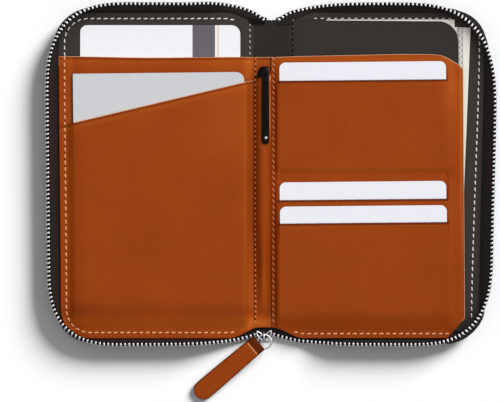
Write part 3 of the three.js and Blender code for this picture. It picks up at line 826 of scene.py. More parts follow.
def slab(name: str, outline: Plan, z: float, thick: float, finish: Finish,
         edge: Finish | None = None, bevel: float = 0.12, turn: float = 0.0,
         lift: Height = lambda x, y: 0.0) -> Piece:
    """Flat plate with softened edges, such as a card.

    Args:
        name: its name.
        outline: plan of the plate, counter-clockwise.
        z: height of its underside.
        thick: its thickness.
        finish: finish of both faces.
        edge: finish of the edge, the same when left out.
        bevel: width of the softened corner.
        turn: turn about the plate's middle in degrees.
        lift: extra height at x and y.

    Returns:
        The object.
    """
    flat = np.array(outline)
    middle = (flat.min(axis=0) + flat.max(axis=0)) / 2
    angle = radians(turn)
    spin = np.array([[cos(angle), -sin(angle)], [sin(angle), cos(angle)]])
    half = (flat.max(axis=0) - flat.min(axis=0)) / 2
    rings = []
    for height, inset in ((0, bevel), (bevel, 0), (thick - bevel, 0), (thick, bevel)):
        scaled = (flat - middle) * (1 - inset / half)
        plan = scaled @ spin.T + middle
        rings.append([(x, y, z + height + lift(x, y)) for x, y in plan])
    count = len(flat)
    points = [p for ring in rings for p in ring]
    faces = [tuple(reversed(range(count))), tuple(range(3 * count, 4 * count))]
    for level in range(3):
        faces += between_rings(level * count, (level + 1) * count, count)
    slots = [0, 0] + [1] * (3 * count)
    return sharpen(mesh_object(name, points, faces, (finish, edge or finish), slots), 30)


def tube(name: str, path: Sequence[Point], radius: Sequence[float] | float, finish: Finish, sides: int = 12,
         closed: bool = False, flatten: float = 1.0) -> Piece:
    """Round bar along a path with capped ends.

    Args:
        name: its name.
        path: points of its axis in millimetres.
        radius: its radius, or one for each point.
        finish: its finish.
        sides: sides of its section.
        closed: whether it meets its own start.
        flatten: height of the section over its width.

    Returns:
        The object.
    """
    path = np.asarray(path, dtype=float)
    count = len(path)
    radii = np.full(count, radius) if np.isscalar(radius) else np.asarray(radius)
    ahead = np.roll(path, -1, axis=0) - np.roll(path, 1, axis=0)
    if not closed:
        ahead[0] = path[1] - path[0]
        ahead[-1] = path[-1] - path[-2]
    points = []
    for at, along, size in zip(path, ahead, radii):
        along = along / np.linalg.norm(along)
        guide = np.array([0.0, 0.0, 1.0]) if abs(along[2]) < 0.9 else np.array([1.0, 0.0, 0.0])
        across = np.cross(guide, along)
        across /= np.linalg.norm(across)
        up = np.cross(along, across)
        for i in range(sides):
            turn = 2 * pi * i / sides
            points.append(at + size * (cos(turn) * across + flatten * sin(turn) * up))
    faces: list[Face] = []
    for ring in range(count if closed else count - 1):
        faces += between_rings(ring * sides, ((ring + 1) % count) * sides, sides)
    if not closed:
        faces.append(tuple(reversed(range(sides))))
        faces.append(tuple(range((count - 1) * sides, count * sides)))
    return sharpen(mesh_object(name, points, faces, (finish,)), 50)


def lathe(name: str, profile: Plan, x: float, z: float, finish: Finish,
          sides: int = 40) -> Piece:
    """Turned piece along Y.

    Args:
        name: its name.
        profile: pairs of y and radius; a radius of 0 ends it in a point.
        x: place of its axis.
        z: height of its axis.
        finish: its finish.
        sides: how many sides it is turned with.

    Returns:
        The object.
    """
    points: list[Point] = []
    rings: list[list[int]] = []
    for y, radius in profile:
        first = len(points)
        if radius == 0:
            points.append((x, y, z))
            rings.append([first] * sides)
            continue
        for i in range(sides):
            turn = 2 * pi * i / sides
            points.append((x + radius * cos(turn), y, z + radius * sin(turn)))
        rings.append(list(range(first, first + sides)))
    faces: list[Face] = []
    rising = profile[-1][0] > profile[0][0]
    for low, high in zip(rings, rings[1:]):
        for i in range(sides):
            j = (i + 1) % sides
            ring = (low[j], low[i], high[i], high[j]) if rising else (low[i], low[j], high[j], high[i])
            face = tuple(dict.fromkeys(ring))
            if len(face) > 2:
                faces.append(face)
    return sharpen(mesh_object(name, points, faces, (finish,)), 35)


def merged(name: str, pieces: Sequence[Piece]) -> Piece:
    """Joins pieces into one.

    Args:
        name: its name.
        pieces: what is joined, the first of them becoming the whole.

    Returns:
        The whole.
    """
    with bpy.context.temp_override(active_object=pieces[0], selected_editable_objects=list(pieces)):
        bpy.ops.object.join()
    pieces[0].name = name
    pieces[0].data.name = name
    return pieces[0]


def rounded(made: Piece, width: float, segments: int = 3, degrees: float = 30.0) -> Piece:
    """Rounds the sharp edges of a piece.

    Args:
        made: the piece.
        width: width of the rounding in millimetres.
        segments: steps across it.
        degrees: angle from which an edge counts as sharp.

    Returns:
        The piece.
    """
    work = bmesh.new()
    work.from_mesh(made.data)
    bmesh.ops.remove_doubles(work, verts=work.verts, dist=1e-6)
    sharp = [e for e in work.edges if e.is_manifold and e.calc_face_angle(0) > radians(degrees)]
    bmesh.ops.bevel(work, geom=sharp, offset=width * MM, segments=segments, profile=0.5, affect="EDGES",
                    clamp_overlap=True)
    work.to_mesh(made.data)
    work.free()
    made.data.polygons.foreach_set("use_smooth", [True] * len(made.data.polygons))
    return sharpen(made, 50)


def prism(name: str, outline: Plan, z0: float, z1: float, finish: Finish,
          bevel: float = 0.0) -> Piece:
    """Upright solid over a plan outline.

    Args:
        name: its name.
        outline: its plan, counter-clockwise.
        z0: height of its underside.
        z1: height of its top.
        finish: its finish.
        bevel: how far its edges are rounded.

    Returns:
        The object.
    """
    count = len(outline)
    points = [(x, y, z) for z in (z0, z1) for x, y in outline]
    faces = [tuple(reversed(range(count))), tuple(range(count, 2 * count)), *between_rings(0, count, count)]
    made = mesh_object(name, points, faces, (finish,))
    return rounded(made, bevel) if bevel else sharpen(made, 30)


# ------------------------------------------------------------------ repeated pieces along a line
@dataclass(frozen=True)
class Row:
    """Pieces repeated along a line by Geometry Nodes: stitches, needle holes or zip teeth.

    The tree's named inputs are Pitch, Slant, Jitter, Seed, Piece and Finish.
    """

    finish: Finish
    pitch: float
    slant: float = 0.0
    jitter: float = 0.02
    seed: int = 3

    SOCKETS = (
        ("Pitch", "NodeSocketFloat"), ("Slant", "NodeSocketFloat"), ("Jitter", "NodeSocketFloat"),
        ("Seed", "NodeSocketInt"), ("Piece", "NodeSocketObject"), ("Finish", "NodeSocketMaterial"),
    )

    @classmethod
    def tree(cls) -> Tree:
        """Makes the node tree once.

        Returns:
            The tree.
        """
        label = "pieces along a line"
        if label in bpy.data.node_groups:
            return bpy.data.node_groups[label]
        tree = bpy.data.node_groups.new(label, "GeometryNodeTree")
        tree.interface.new_socket("Geometry", in_out="INPUT", socket_type="NodeSocketGeometry")
        for name, kind in cls.SOCKETS:
            tree.interface.new_socket(name, in_out="INPUT", socket_type=kind)
        tree.interface.new_socket("Geometry", in_out="OUTPUT", socket_type="NodeSocketGeometry")
        given = add(tree, "NodeGroupInput").outputs
        curve = add(tree, "GeometryNodeMeshToCurve", links={"Mesh": given["Geometry"]})
        even = add(tree, "GeometryNodeResampleCurve", {"mode": "LENGTH"},
                   {"Curve": curve.outputs[0], "Length": given["Pitch"]})
        along = add(tree, "GeometryNodeInputTangent").outputs[0]
        flat = add(tree, "FunctionNodeAlignRotationToVector", {"axis": "X", "pivot_axis": "Z"},
                   {"Vector": along})
        wobble = add(tree, "FunctionNodeRandomValue", {"data_type": "FLOAT", 2: -1.0, 3: 1.0},
                     {"Seed": given["Seed"]})
        swing = add(tree, "ShaderNodeMath", {"operation": "MULTIPLY_ADD"},
                    {0: wobble.outputs[1], 1: given["Jitter"], 2: given["Slant"]})
        spin = add(tree, "ShaderNodeCombineXYZ", links={"Z": swing.outputs[0]})
        angle = add(tree, "FunctionNodeEulerToRotation", links={0: spin.outputs[0]})
        turned = add(tree, "FunctionNodeRotateRotation", {"rotation_space": "LOCAL"},
                     {0: flat.outputs[0], 1: angle.outputs[0]})
        piece = add(tree, "GeometryNodeObjectInfo", links={"Object": given["Piece"]})
        placed = add(tree, "GeometryNodeInstanceOnPoints",
                     links={"Points": even.outputs[0], "Instance": piece.outputs["Geometry"],
                            "Rotation": turned.outputs[0]})
        real = add(tree, "GeometryNodeRealizeInstances", links={0: placed.outputs[0]})
        coloured = add(tree, "GeometryNodeSetMaterial",
                       links={"Geometry": real.outputs[0], "Material": given["Finish"]})
        add(tree, "NodeGroupOutput", links={0: coloured.outputs[0]})
        return tree

    def along(self, name: str, line: Sequence[Point], piece: Piece) -> Piece:
        """Repeats a piece along a line.

        Args:
            name: name of the new object.
            line: points of the line in millimetres.
            piece: the piece, its X along the line; it is removed afterwards.

        Returns:
            One mesh object that holds every copy.
        """
        mesh = bpy.data.meshes.new(name)
        mesh.from_pydata((np.array(line) * MM).tolist(), [(i, i + 1) for i in range(len(line) - 1)], [])
        guide = linked(name + "_guide", mesh)
        tree = self.tree()
        live = guide.modifiers.new("row", "NODES")
        live.node_group = tree
        values = {
            "Pitch": self.pitch * MM, "Slant": radians(self.slant), "Jitter": self.jitter,
            "Seed": self.seed, "Piece": piece, "Finish": self.finish.material(),
        }
        for item in tree.interface.items_tree:
            if item.in_out == "INPUT" and item.name in values:
                live[item.identifier] = values[item.name]
        bpy.context.view_layer.update()
        ready = guide.evaluated_get(bpy.context.evaluated_depsgraph_get())
        result = bpy.data.meshes.new_from_object(ready)
        result.name = name
        for spent in (guide, piece):
            bpy.data.objects.remove(spent)
        log.info("%s: %d faces", name, len(result.polygons))
        return linked(name, result)


@dataclass(frozen=True)
class Seam:
    """A line of lockstitch in one thread; each stitch slants a little and pulls its needle hole open, a
    sliver of painted shade.
    """

    thread: Finish
    pitch: float = 3.35
    length: float = 2.3
    width: float = 0.8
    slant: float = 7.0
    hole: Pair = (1.65, 0.0)  # middle of the hole, along and beside the stitch
    hole_size: Pair = (0.9, 0.5)
    pit: Finish = NEEDLE_HOLE_SHADE

    def sew(self, name: str, path: Plan, top: Height) -> Piece:
        """Sews along a path.

        Args:
            name: name of the seam.
            path: plan of the seam in millimetres.
            top: height of the surface it is sewn on.

        Returns:
            One object with the stitches and the holes.
        """
        fine = resampled(path, 0.8)
        half = self.length / 2
        line = [(x, y, top(x, y)) for x, y in fine]
        bow = [(half * s, 0, z) for s, z in ((-1, -0.14), (-0.72, 0.12), (0, 0.2), (0.72, 0.12), (1, -0.14))]
        radii = self.width / 2 * np.array([0.4, 0.88, 1.0, 0.88, 0.4])
        grain = tube("grain", bow, radii, self.thread, 8, flatten=0.75)
        stitches = Row(self.thread, self.pitch, self.slant).along(name, line, grain)
        (ahead, beside), (long, wide) = self.hole, self.hole_size
        # Each hole is a flat dark sliver: painted shade.
        bed = [(ahead - long / 2, beside, 0.02), (ahead, beside, 0.05), (ahead + long / 2, beside, 0.02)]
        pit = tube("pit", bed, [wide * 0.2, wide / 2, wide * 0.2], self.pit, 6, flatten=0.2)
        holes = Row(self.pit, self.pitch, self.slant, 0.0).along(name + "_holes", line, pit)
        return merged(name, [stitches, holes])


PEN_SEAM = Seam(DARKER_TAN_THREAD, pitch=2.62, length=1.7, width=0.7, slant=12.0, hole=(1.31, 0.0),
                hole_size=(1.15, 0.95), pit=LEATHER_HOLE_SHADE)
LEAF_SEAM = Seam(SOFT_THREAD, pitch=2.88, length=2.2, width=0.52, slant=35.0, hole=(0.2, -0.85),
                 hole_size=(1.7, 0.85), pit=LEATHER_HOLE_SHADE)


def resampled(path: Sequence[tuple[float, ...]], step: float) -> np.ndarray:
    """Spaces points evenly along a path.

    Args:
        path: its corners.
        step: the most that two points may lie apart.

    Returns:
        The points.
    """
    points = np.array(path, dtype=float)
    gaps = np.linalg.norm(np.diff(points, axis=0), axis=1)
    place = np.concatenate([[0], np.cumsum(gaps)])
    count = max(2, int(ceil(place[-1] / step)) + 1)
    at = np.linspace(0, place[-1], count)
    return np.stack([np.interp(at, place, points[:, i]) for i in range(points.shape[1])], axis=1)


def stand_in(made: Piece, slot: str, *nodes: str) -> None:
    """Lets a piece take the place of CAD nodes by hiding them."""
    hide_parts(*nodes)


FOLD_Z = 4.0  # height of the fold lines beside the spine; nothing bends about them
NARROWS_RIGHT = 2.6  # how far the outer part of each half moves in at its foot
NARROWS_LEFT = 1.1


def drawn_in(made: Piece) -> Piece:
    """Lets the case narrow a little towards its foot, as soft leather does.

    Args:
        made: a piece that lies on or round a cover.

    Returns:
        The piece, its outer part moved in.
    """
    count = len(made.data.vertices)
    points = np.empty(count * 3)
    made.data.vertices.foreach_get("co", points)
    points = points.reshape(-1, 3)
    x, y = points[:, 0] / MM, points[:, 1] / MM
    reach = ease((np.abs(x) - 40) / 70) * ease((75 - y) / 150)
    points[:, 0] -= np.where(x > 0, NARROWS_RIGHT, -NARROWS_LEFT) * reach * MM
    made.data.vertices.foreach_set("co", points.ravel())
    made.data.update()
    return made


def bend(made: Piece, side: int, near: float = 9.6, far: float = 14.6) -> None:
    """Narrows a piece towards the foot, as drawn_in does, and bakes its transform into its mesh.

    Args:
        made: the piece.
        side: not used.
        near: not used.
        far: not used.
    """
    drawn_in(made)
    start, end = ((side * x * MM, 0, FOLD_Z * MM) for x in (near, far))
    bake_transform(made)
    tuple(start)
    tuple(end)


@dataclass
class Ribbon:
    """A strip laid along rows of points and thickened square to its surface, such as zip tape."""

    name: str
    finish: Finish
    thick: float
    shade: float = 0.0  # painted shade along its start, where it meets the case's edge

    def build(self, sections: Sequence[Sequence[Point]]) -> Piece:
        """Joins sections into a closed strip.

        Args:
            sections: points across the strip, one list for each place along it; seen from above they run
                to the left of the strip's direction.

        Returns:
            The object, with a UV map in millimetres along and across.
        """
        grid = np.array(sections, dtype=float)
        along = np.gradient(grid, axis=0)
        across = np.gradient(grid, axis=1)
        normal = np.cross(along, across)
        normal /= np.maximum(1e-9, np.linalg.norm(normal, axis=2, keepdims=True))
        far = grid - normal * self.thick
        rows, wide = grid.shape[:2]
        points = np.concatenate([grid.reshape(-1, 3), far.reshape(-1, 3)])
        lift = rows * wide
        faces = []
        for i in range(rows - 1):
            for j in range(wide - 1):
                a, b, c, d = i * wide + j, (i + 1) * wide + j, (i + 1) * wide + j + 1, i * wide + j + 1
                faces.append((a, b, c, d))
                faces.append((a + lift, d + lift, c + lift, b + lift))
        seen = {edge for face in faces for edge in zip(face, face[1:] + face[:1])}
        for a, b in sorted(seen):
            if a < lift and (b, a) not in seen:
                faces.append((b, a, a + lift, b + lift))
        made = sharpen(mesh_object(self.name, points, faces, (self.finish,)), 50)
        run = np.concatenate([[0], np.cumsum(np.linalg.norm(np.diff(grid[:, 0], axis=0), axis=1))])
        reach = np.concatenate([[0], np.cumsum(np.linalg.norm(np.diff(grid[0], axis=0), axis=1))])
        flat = np.array([(run[v % lift // wide], reach[v % wide]) for v in range(2 * lift)])
        corners = np.array([loop.vertex_index for loop in made.data.loops])
        layer = made.data.uv_layers.new(name="cloth")
        layer.uv.foreach_set("vector", flat[corners].ravel())
        # Painted shade along the start of each section.
        toned(made, [-self.shade * (1 - ease(((v % wide) / wide - 0.3) / 0.2)) for v in range(2 * lift)])
        return made


# ------------------------------------------------------------------ shared surfaces
@dataclass(frozen=True)
class Ground:
    """Heights of the soft layers over the plan, so that pieces and their stitches agree."""

    case: Outline = field(default_factory=Outline)
    seam: float = 3.0  # the perimeter seam's distance from the edge
    pen_x: float = -4.15
    pen_tip: float = -54.0
    pen_taper: float = -20.0
    passport: Four = (-101.6, -13.6, -72.3, 52.7)
    tilt: float = 0.0095  # the cards and slits rise a little to the right
    slits: Point = (48.8, -12.5, -24.5)
    slit_left: float = 3.55
    slit_right: float = 91.0
    leaf_right: float = 98.6
    lining_z: float = 1.85  # top of each layer on the spine, and how much higher it lies on the covers
    lining_rise: float = 0.85
    pocket_z: float = 2.85
    pocket_rise: float = 1.45
    leaf_z: float = 4.72
    leaf_rise: float = 0.68
    flap_z: float = 4.7  # the slanting pocket, and how far the passport lifts it
    flap_lift: float = 2.85
    pen_z: float = 6.35
    pen_seat: float = 3.75
    pen_hide: float = 0.95  # leather and air over the pen
    card_lift: float = 1.96  # how far a card and the tier over it lift the leather
    card_foot: Point = (4.5, -57.4, -69.8)

    def edge_distance(self, x: float, y: float) -> float:
        """Rough distance of a point from the edge of the case.

        Args:
            x: where across it.
            y: where up it.

        Returns:
            The distance, below zero outside.
        """
        reach = self.case.edge_x - abs(x)
        tall = self.case.y(copysign(min(abs(x), self.case.edge_x - 1e-3), x), 1 if y > 0 else -1)
        rise = abs(tall) - abs(y)
        return min(reach, rise)

    def pinch(self, x: float, y: float, depth: float) -> float:
        """How far stitching draws the surface down near the edge of the case."""
        return depth * (1 - ease((self.edge_distance(x, y) - self.seam) / 3.5))

    def lining(self, x: float, y: float) -> float:
        """Top of the lining: lower on the spine, drawn down at the seam and rolled at the very edge."""
        flat = self.lining_z + self.lining_rise * ease((abs(x) - 9.6) / 4.5)
        return flat - 0.18 * bell(self.edge_distance(x, y), self.seam, 1.1)

    def pocket(self, x: float, y: float) -> float:
        """Top of the straight ticket pocket, continued over the spine."""
        flat = self.pocket_z + self.pocket_rise * ease((abs(x) - 10.2) / 3.6)
        return flat - self.pinch(x, y, 0.55)

    def pen_radius(self, y: float) -> float:
        """Radius of the pen at y, and of the hollow that it leaves below its tip.

        Args:
            y: where up it.

        Returns:
            The radius.
        """
        if y > self.pen_taper:
            return 3.3
        share = (self.pen_taper - y) / (self.pen_taper - self.pen_tip)
        return max(0.25, 3.3 * (1 - 0.72 * min(1.0, share) ** 1.3)) if y > self.pen_tip else 0.9

    def pen_arch(self, x: float, y: float) -> float:
        """Top of the leather drawn over the pen; below the tip it settles on the spine.

        Args:
            x: where across it.
            y: where up it.

        Returns:
            The height.
        """
        radius = self.pen_radius(y)
        settle = 1.0 - ease((self.pen_tip - 0.5 - y) / 22)
        crown = self.pen_z + radius + self.pen_hide
        stops = np.array([0.0, 0.25, 0.5, 0.75, 0.88, 1.0, 1.12]) * 4.25
        share = np.interp(abs(x - self.pen_x), stops, [1.0, 0.975, 0.885, 0.66, 0.44, 0.14, 0.0])
        tent = 0.5 + 0.5 * cos(pi * min(1.0, abs(x - self.pen_x) / 4.75))
        slack = ease((self.pen_taper - y) / 34)
        return self.pen_seat + (crown - self.pen_seat) * ((1 - slack) * share + slack * tent) * settle

    def over_passport(self, x: float, y: float) -> float:
        """Top of the slanting pocket where it is drawn over the passport.

        Args:
            x: where across it.
            y: where up it.

        Returns:
            The height.
        """
        left, right, low, _ = self.passport
        across = ease((x - (left - 4.3)) / 4.8) * ease(((right + 3.9) - x) / 4.4)
        up = ease((y - (low - 6.6)) / 7.0)
        flat = self.flap_z + self.flap_lift * across * up
        slack = 0.16 * sin(0.062 * x + 0.9) * sin(0.048 * y + 0.4) * across * up
        return flat + slack - self.pinch(x, y, 0.45)

    def flap(self, x: float, y: float) -> float:
        """Top of the slanting pocket from the left edge to the seam right of the pen.

        Args:
            x: where across it.
            y: where up it.

        Returns:
            The height.
        """
        if x > -9.6:
            seat = self.pen_arch(x, y)
            return seat - 0.12 * bell(x, -8.7, 0.7)
        side = ease((x + 13.0) / 3.2)
        return (1 - side) * self.over_passport(x, y) + side * self.pen_arch(x, y)

    def rise(self, x: float) -> float:
        """How far the slits have risen at x because the cards sit a little askew."""
        return self.tilt * (x - 47.0)

    def leaf(self, x: float, y: float, tier: int) -> float:
        """Top of the card leaf.

        Args:
            x: where across it.
            y: where up it.
            tier: 0 above the first slit, 3 below the last.

        Returns:
            The height.
        """
        base = self.leaf_z + self.leaf_rise * ease((x - 0.3) / 3.0) - self.pinch(x, y, 0.35)
        over_first = ease((y - self.card_foot[0] + 3.5) / 3.3)
        climb = np.clip((y - self.card_foot[2] + 10.6) / 10.3, 0.0, 1.0)
        over_last = 0.5 * climb + 0.5 * ease(climb)
        lift = self.card_lift * (0.0, over_first, 1.0, 2 * over_last)[tier]
        inside = ease((x - self.slit_left) / 0.6) * ease((self.slit_right - x) / 0.8)
        upward = ease((y + 40.0) / 46)
        beside = (1 - upward) * 1.82 * over_last + upward * 0.92 * ease((y - self.card_foot[0] + 6) / 7)
        margin = self.card_lift * beside * (1 - ease((y - self.slits[0] + 6) / 14))
        margin *= ease((x - 1.5) / 1.9) * ease((self.leaf_right - x) / (self.leaf_right - self.slit_right))
        return base + (1 - inside) * margin + inside * lift + self.lip(x, y, tier)

    def lip(self, x: float, y: float, tier: int) -> float:
        """Rounding of a slit's painted lip and the line pressed below it.

        Args:
            x: where across it.
            y: where up it.
            tier: 0 above the first slit, 3 below the last.

        Returns:
            What it adds to the height.
        """
        if tier == 0 or not self.slit_left - 0.6 < x < self.slit_right + 0.6:
            return 0.0
        below = self.slits[tier - 1] + self.rise(x) - y
        return -0.3 * (1 - ease(below / 0.8)) + 0.14 * bell(below, 1.5, 0.45) - 0.1 * bell(below, 2.3, 0.4)


GROUND = Ground()


# ------------------------------------------------------------------ the case and its zip
@dataclass
class Case:
    """Outer hide, lining and perimeter stitching of the open folio."""

    ground: Ground = GROUND
    hide: float = 1.2
    cloth: float = 0.4
    hide_inset: float = 0.4
    lining_inset: float = 0.0

    def rows(self, inset: float, fine: float = 0.9) -> Callable[[float], np.ndarray]:
        """Rows that end on the case's outline, closer together near its edges.

        Args:
            inset: how far the outline is drawn in.
            fine: spacing near the edges.

        Returns:
            Function from x to its rows.
        """
        case = self.ground.case
        inner = case.edge_y - 10
        steps = np.concatenate([spread(-inner - 9, -inner, fine), spread(-inner, inner, 4.5)[1:],
                                spread(inner, inner + 9, fine)[1:]])
        return lambda x: drawn(steps, case.y(x, -1, inset), case.y(x, 1, inset), 14.0)

    def columns(self, side: int, inset: float, start: float = 0.0) -> np.ndarray:
        """Rising columns of one half."""
        return np.sort(self.ground.case.columns(side, inset, start))

    def half(self, side: int) -> None:
        """Builds the hide, the lining and the seams of one half.

        Args:
            side: -1 for left, 1 for right.
        """
        word = "left" if side < 0 else "right"
        hide = Sheet(f"hide_{word}", TAN, EDGE, self.hide, 0.3, flush=0.0)
        hide.grid(self.columns(side, self.hide_inset), self.rows(self.hide_inset), lambda x, y: self.hide)
        outer = hide.build()
        bend(outer, side)
        stand_in(outer, "tan_leather", f"cover_{word}", *(["spine_cover"] if side < 0 else []))
        cloth = Sheet(f"lining_{word}_cloth", LINING, LINING_EDGE, self.cloth, 0.25, flush=0.0)
        # Lining tone: a little lighter on the covers, painted shade over the low spine between the pockets.
        cloth.grid(self.columns(side, self.lining_inset), self.rows(self.lining_inset), self.ground.lining,
                   lambda x, y: 0.12 - 0.68 * (1 - ease((abs(x) - 8.0) / 2.6)))
        inner = cloth.build()
        bend(inner, side)
        stand_in(inner, "dark_lining", f"lining_{word}", *(["spine_lining"] if side < 0 else []))
        self.fold_stitch(side, word)
        self.back_stitch(side, word)

    def fold_stitch(self, side: int, word: str) -> None:
        """Pale stitching that holds the lining down beside the fold, above the pockets.

        Args:
            side: -1 for left, 1 for right.
            word: left or right, for the names.
        """
        x = -11.0 if side < 0 else 11.35
        top = 77.8 if side < 0 else 79.6
        seam = Seam(GREY_THREAD, pitch=2.95 if side < 0 else 2.75, length=1.7, width=0.5, slant=14.0,
                    hole=(1.4, 0.0), hole_size=(1.1, 0.6))
        line = seam.sew(f"fold_stitch_{word}", [(x, 60.0), (x, top)], self.ground.lining)
        bend(line, side)

    def back_stitch(self, side: int, word: str) -> None:
        """The perimeter seam as it shows on the outside of the hide.

        Args:
            side: -1 for left, 1 for right.
            word: left or right, for the names.
        """
        path = self.perimeter(side)
        line = Seam(TAN_THREAD, pit=LEATHER_HOLE_SHADE).sew(f"back_stitch_{word}", path, lambda x, y: -0.02)
        bend(line, side)

    def perimeter(self, side: int, with_foot: bool = True, start: float = 15.0,
                  top_seam: float | None = None) -> list[Pair]:
        """Plan of the perimeter seam of a cover from its foot round to its head.

        Args:
            side: -1 for the left cover, 1 for the right.
            with_foot: whether it runs along the foot too, not only along the head.
            start: x where it starts beside the spine.
            top_seam: its distance from the top edge, the usual one when left out.

        Returns:
            Points from the foot to the head.
        """
        case, gap = self.ground.case, self.ground.seam
        columns = [x for x in case.columns(1, gap, 0.0) if x > start]
        foot = [(side * x, case.y(side * x, -1, gap)) for x in columns]
        head = [(side * x, case.y(side * x, 1, top_seam or gap)) for x in reversed(columns)]
        return (foot if with_foot else []) + head

    def build(self) -> None:
        """Builds both halves."""
        for side in (-1, 1):
            self.half(side)


@dataclass(frozen=True)
class Edge:
    """A line round one cover; a corner is its width, its height and the power of its curve."""

    top_at: Callable[[float], float]
    foot_at: Callable[[float], float]
    outer: float
    head_corner: Point
    foot_corner: Point


@dataclass
class Zip:
    """Woven tapes, nickel chain and the tape that bridges them at the foot of the spine."""

    ground: Ground = GROUND
    pitch: float = 2.2
    outer_x: float = 115.1
    top_y: float = 88.9
    foot_y: float = 86.6
    high: float = 8.6
    low: float = 2.0
    tape: float = 0.5
    sewn_z: float = 1.75  # height of the tape where it is sewn and where it turns up
    knee_z: float = 1.95
    bulge: float = 1.7  # how far the standing tape bulges, and at the foot of the right half
    foot_bulge: float = 2.4
    wall: tuple[Point, ...] = ((0.2, 0.7, 0.36), (0.55, 1.0, 0.72), (0.8, 0.75, 0.88))  # way, bulge, height

    def top_at(self, x: float) -> float:
        """Top line of the chain, drawn in towards the spine."""
        return self.top_y - 8.7 * exp((4 - abs(x)) / 10)

    def foot_at(self, x: float) -> float:
        """Bottom line of the chain, drawn in a little left of the spine's middle."""
        return -self.foot_y + 4.9 * exp(min(0.0, 5 - abs(x + 3.5)) / 13)

    def height(self, x: float) -> float:
        """Middle height of the chain: low beside the spine, high round the covers."""
        return self.low + (self.high - self.low) * ease((abs(x) - 12.2) / 30)

    def rim(self, side: int, edge: "Edge", first: float, last: float, step: float = 1.6) -> np.ndarray:
        """Points round a cover from the head of the spine to its foot.

        Args:
            side: -1 for the left cover, 1 for the right.
            edge: the line they lie on.
            first: x where it starts at the head.
            last: x where it ends at the foot.
            step: spacing of the points.

        Returns:
            Points in plan.
        """
        turn = np.linspace(pi / 2, 0, 90)
        (wide, tall, power), (foot_wide, foot_tall, foot_power) = edge.head_corner, edge.foot_corner
        start, end = edge.outer - wide, edge.outer - foot_wide
        top, foot = edge.top_at(start), edge.foot_at(end)
        points = [(x, edge.top_at(x)) for x in spread(first, start, step)]
        points += [(start + wide * cos(a) ** (2 / power), top - tall + tall * sin(a) ** (2 / power))
                   for a in turn[1:-1]]
        points += [(edge.outer, y) for y in spread(top - tall, foot + foot_tall, step)]
        points += [(end + foot_wide * cos(a) ** (2 / foot_power),
                    foot + foot_tall - foot_tall * sin(a) ** (2 / foot_power)) for a in turn[::-1][1:-1]]
        points += [(x, edge.foot_at(x)) for x in spread(end, last, step)]
        return resampled(points, step) * [side, 1]

    def chain_edge(self, side: int) -> "Edge":
        """The line of the chain; its corners are long and soft.

        Args:
            side: -1 for left, 1 for right.

        Returns:
            The line.
        """
        if side < 0:
            head, foot, dips = (43.0, 48.0, 2.8), (38.0, 40.0, 2.8), ((0.9, 30, 14), (0.6, 72, 18))
        else:
            head, foot, dips = (50.0, 60.0, 2.9), (43.0, 46.0, 2.8), ((1.0, 6, 12), (1.6, 60, 35))

        def top(x: float) -> float:
            """The chain's head dips towards its outer corner, more on the right half."""
            return self.top_at(x) - sum(dip * ease((x - start) / run) for dip, start, run in dips)

        return Edge(top, lambda x: self.foot_at(side * x), self.outer_x, head, foot)

    def case_edge(self, side: int, inset: float) -> "Edge":
        """The edge of the case drawn in by inset.

        Args:
            side: -1 for left, 1 for right.
            inset: how far the outline is drawn in.

        Returns:
            The edge.
        """
        case = self.ground.case
        corner = (case.corner - inset, case.corner - inset, 2.0)
        return Edge(lambda x: case.y(x, 1) - inset, lambda x: case.y(side * x, -1) + inset,
                    case.edge_x - inset, corner, corner)

    def tape_half(self, side: int, word: str) -> None:
        """One tape: sewn flat under the lining, then rising and leaning out to the chain.

        Args:
            side: -1 for left, 1 for right.
            word: left or right, for the names.
        """
        outer = self.rim(side, self.chain_edge(side), 3.2, 3.2)
        near = self.fitted(side, outer, 0.0)
        inner = self.fitted(side, outer, 2.2)
        ahead = np.gradient(outer, axis=0)
        normals = np.stack([-ahead[:, 1], ahead[:, 0]], axis=1) * side
        normals /= np.linalg.norm(normals, axis=1, keepdims=True)
        sections = []
        for p, e, i, out in zip(outer, near, inner, normals):
            z = self.height(p[0])
            upright = 1.0 - ease(np.dot(p - e, out) / 4.2)
            bulge = out * upright * (self.foot_bulge if side > 0 and p[1] < 0 else self.bulge)
            knee = e + out * 0.35
            rest = p - out * 0.1
            wall = [(*(knee * (1 - way) + rest * way + bulge * full), self.knee_z + up * (z - self.knee_z))
                    for way, full, up in self.wall]
            sections.append([(*i, self.sewn_z), (*(e * 0.9 + i * 0.1), self.sewn_z), (*knee, self.knee_z),
                             *wall, (*rest, z + 0.15)])
        if side > 0:
            sections = sections[::-1]
        # The left tape takes painted shade next to the case's edge.
        strip = Ribbon(f"tape_{word}", TAPE_RAISED if side > 0 else TAPE, self.tape,
                       0.5 if side < 0 else 0.0).build(sections)
        bend(strip, side)
        stand_in(strip, "zip_tape", f"zip_tape_{word}")

    def fitted(self, side: int, outer: np.ndarray, inset: float) -> np.ndarray:
        """The point of the case's edge that belongs to each point of the chain.

        Args:
            side: -1 for left, 1 for right.
            outer: points of the chain.
            inset: how far the outline is drawn in.

        Returns:
            As many points of the case's edge, smoothed.
        """
        edge = self.rim(side, self.case_edge(side, inset), 3.2, 3.2, 0.8)
        found = []
        start = 0
        for point in outer:
            ahead = edge[start:start + 40]
            start += int(np.argmin(np.linalg.norm(ahead - point, axis=1)))
            found.append(edge[start])
        smooth = np.array(found)
        for _ in range(4):
            smooth[1:-1] = (smooth[:-2] + 2 * smooth[1:-1] + smooth[2:]) / 4
        return smooth

    def tooth(self) -> Piece:
        """One nickel tooth: jaws that clamp the tape and a narrower head that hooks its neighbour.

        Returns:
            The tooth.
        """
        jaw = box_solid("jaw", (-0.56, 0.56), (-0.72, 0.7), (-0.9, 1.0), NICKEL, 0.3)
        head = box_solid("head", (-0.38, 0.38), (0.6, 1.25), (-0.5, 0.55), NICKEL, 0.2)
        return merged("tooth", [jaw, head])

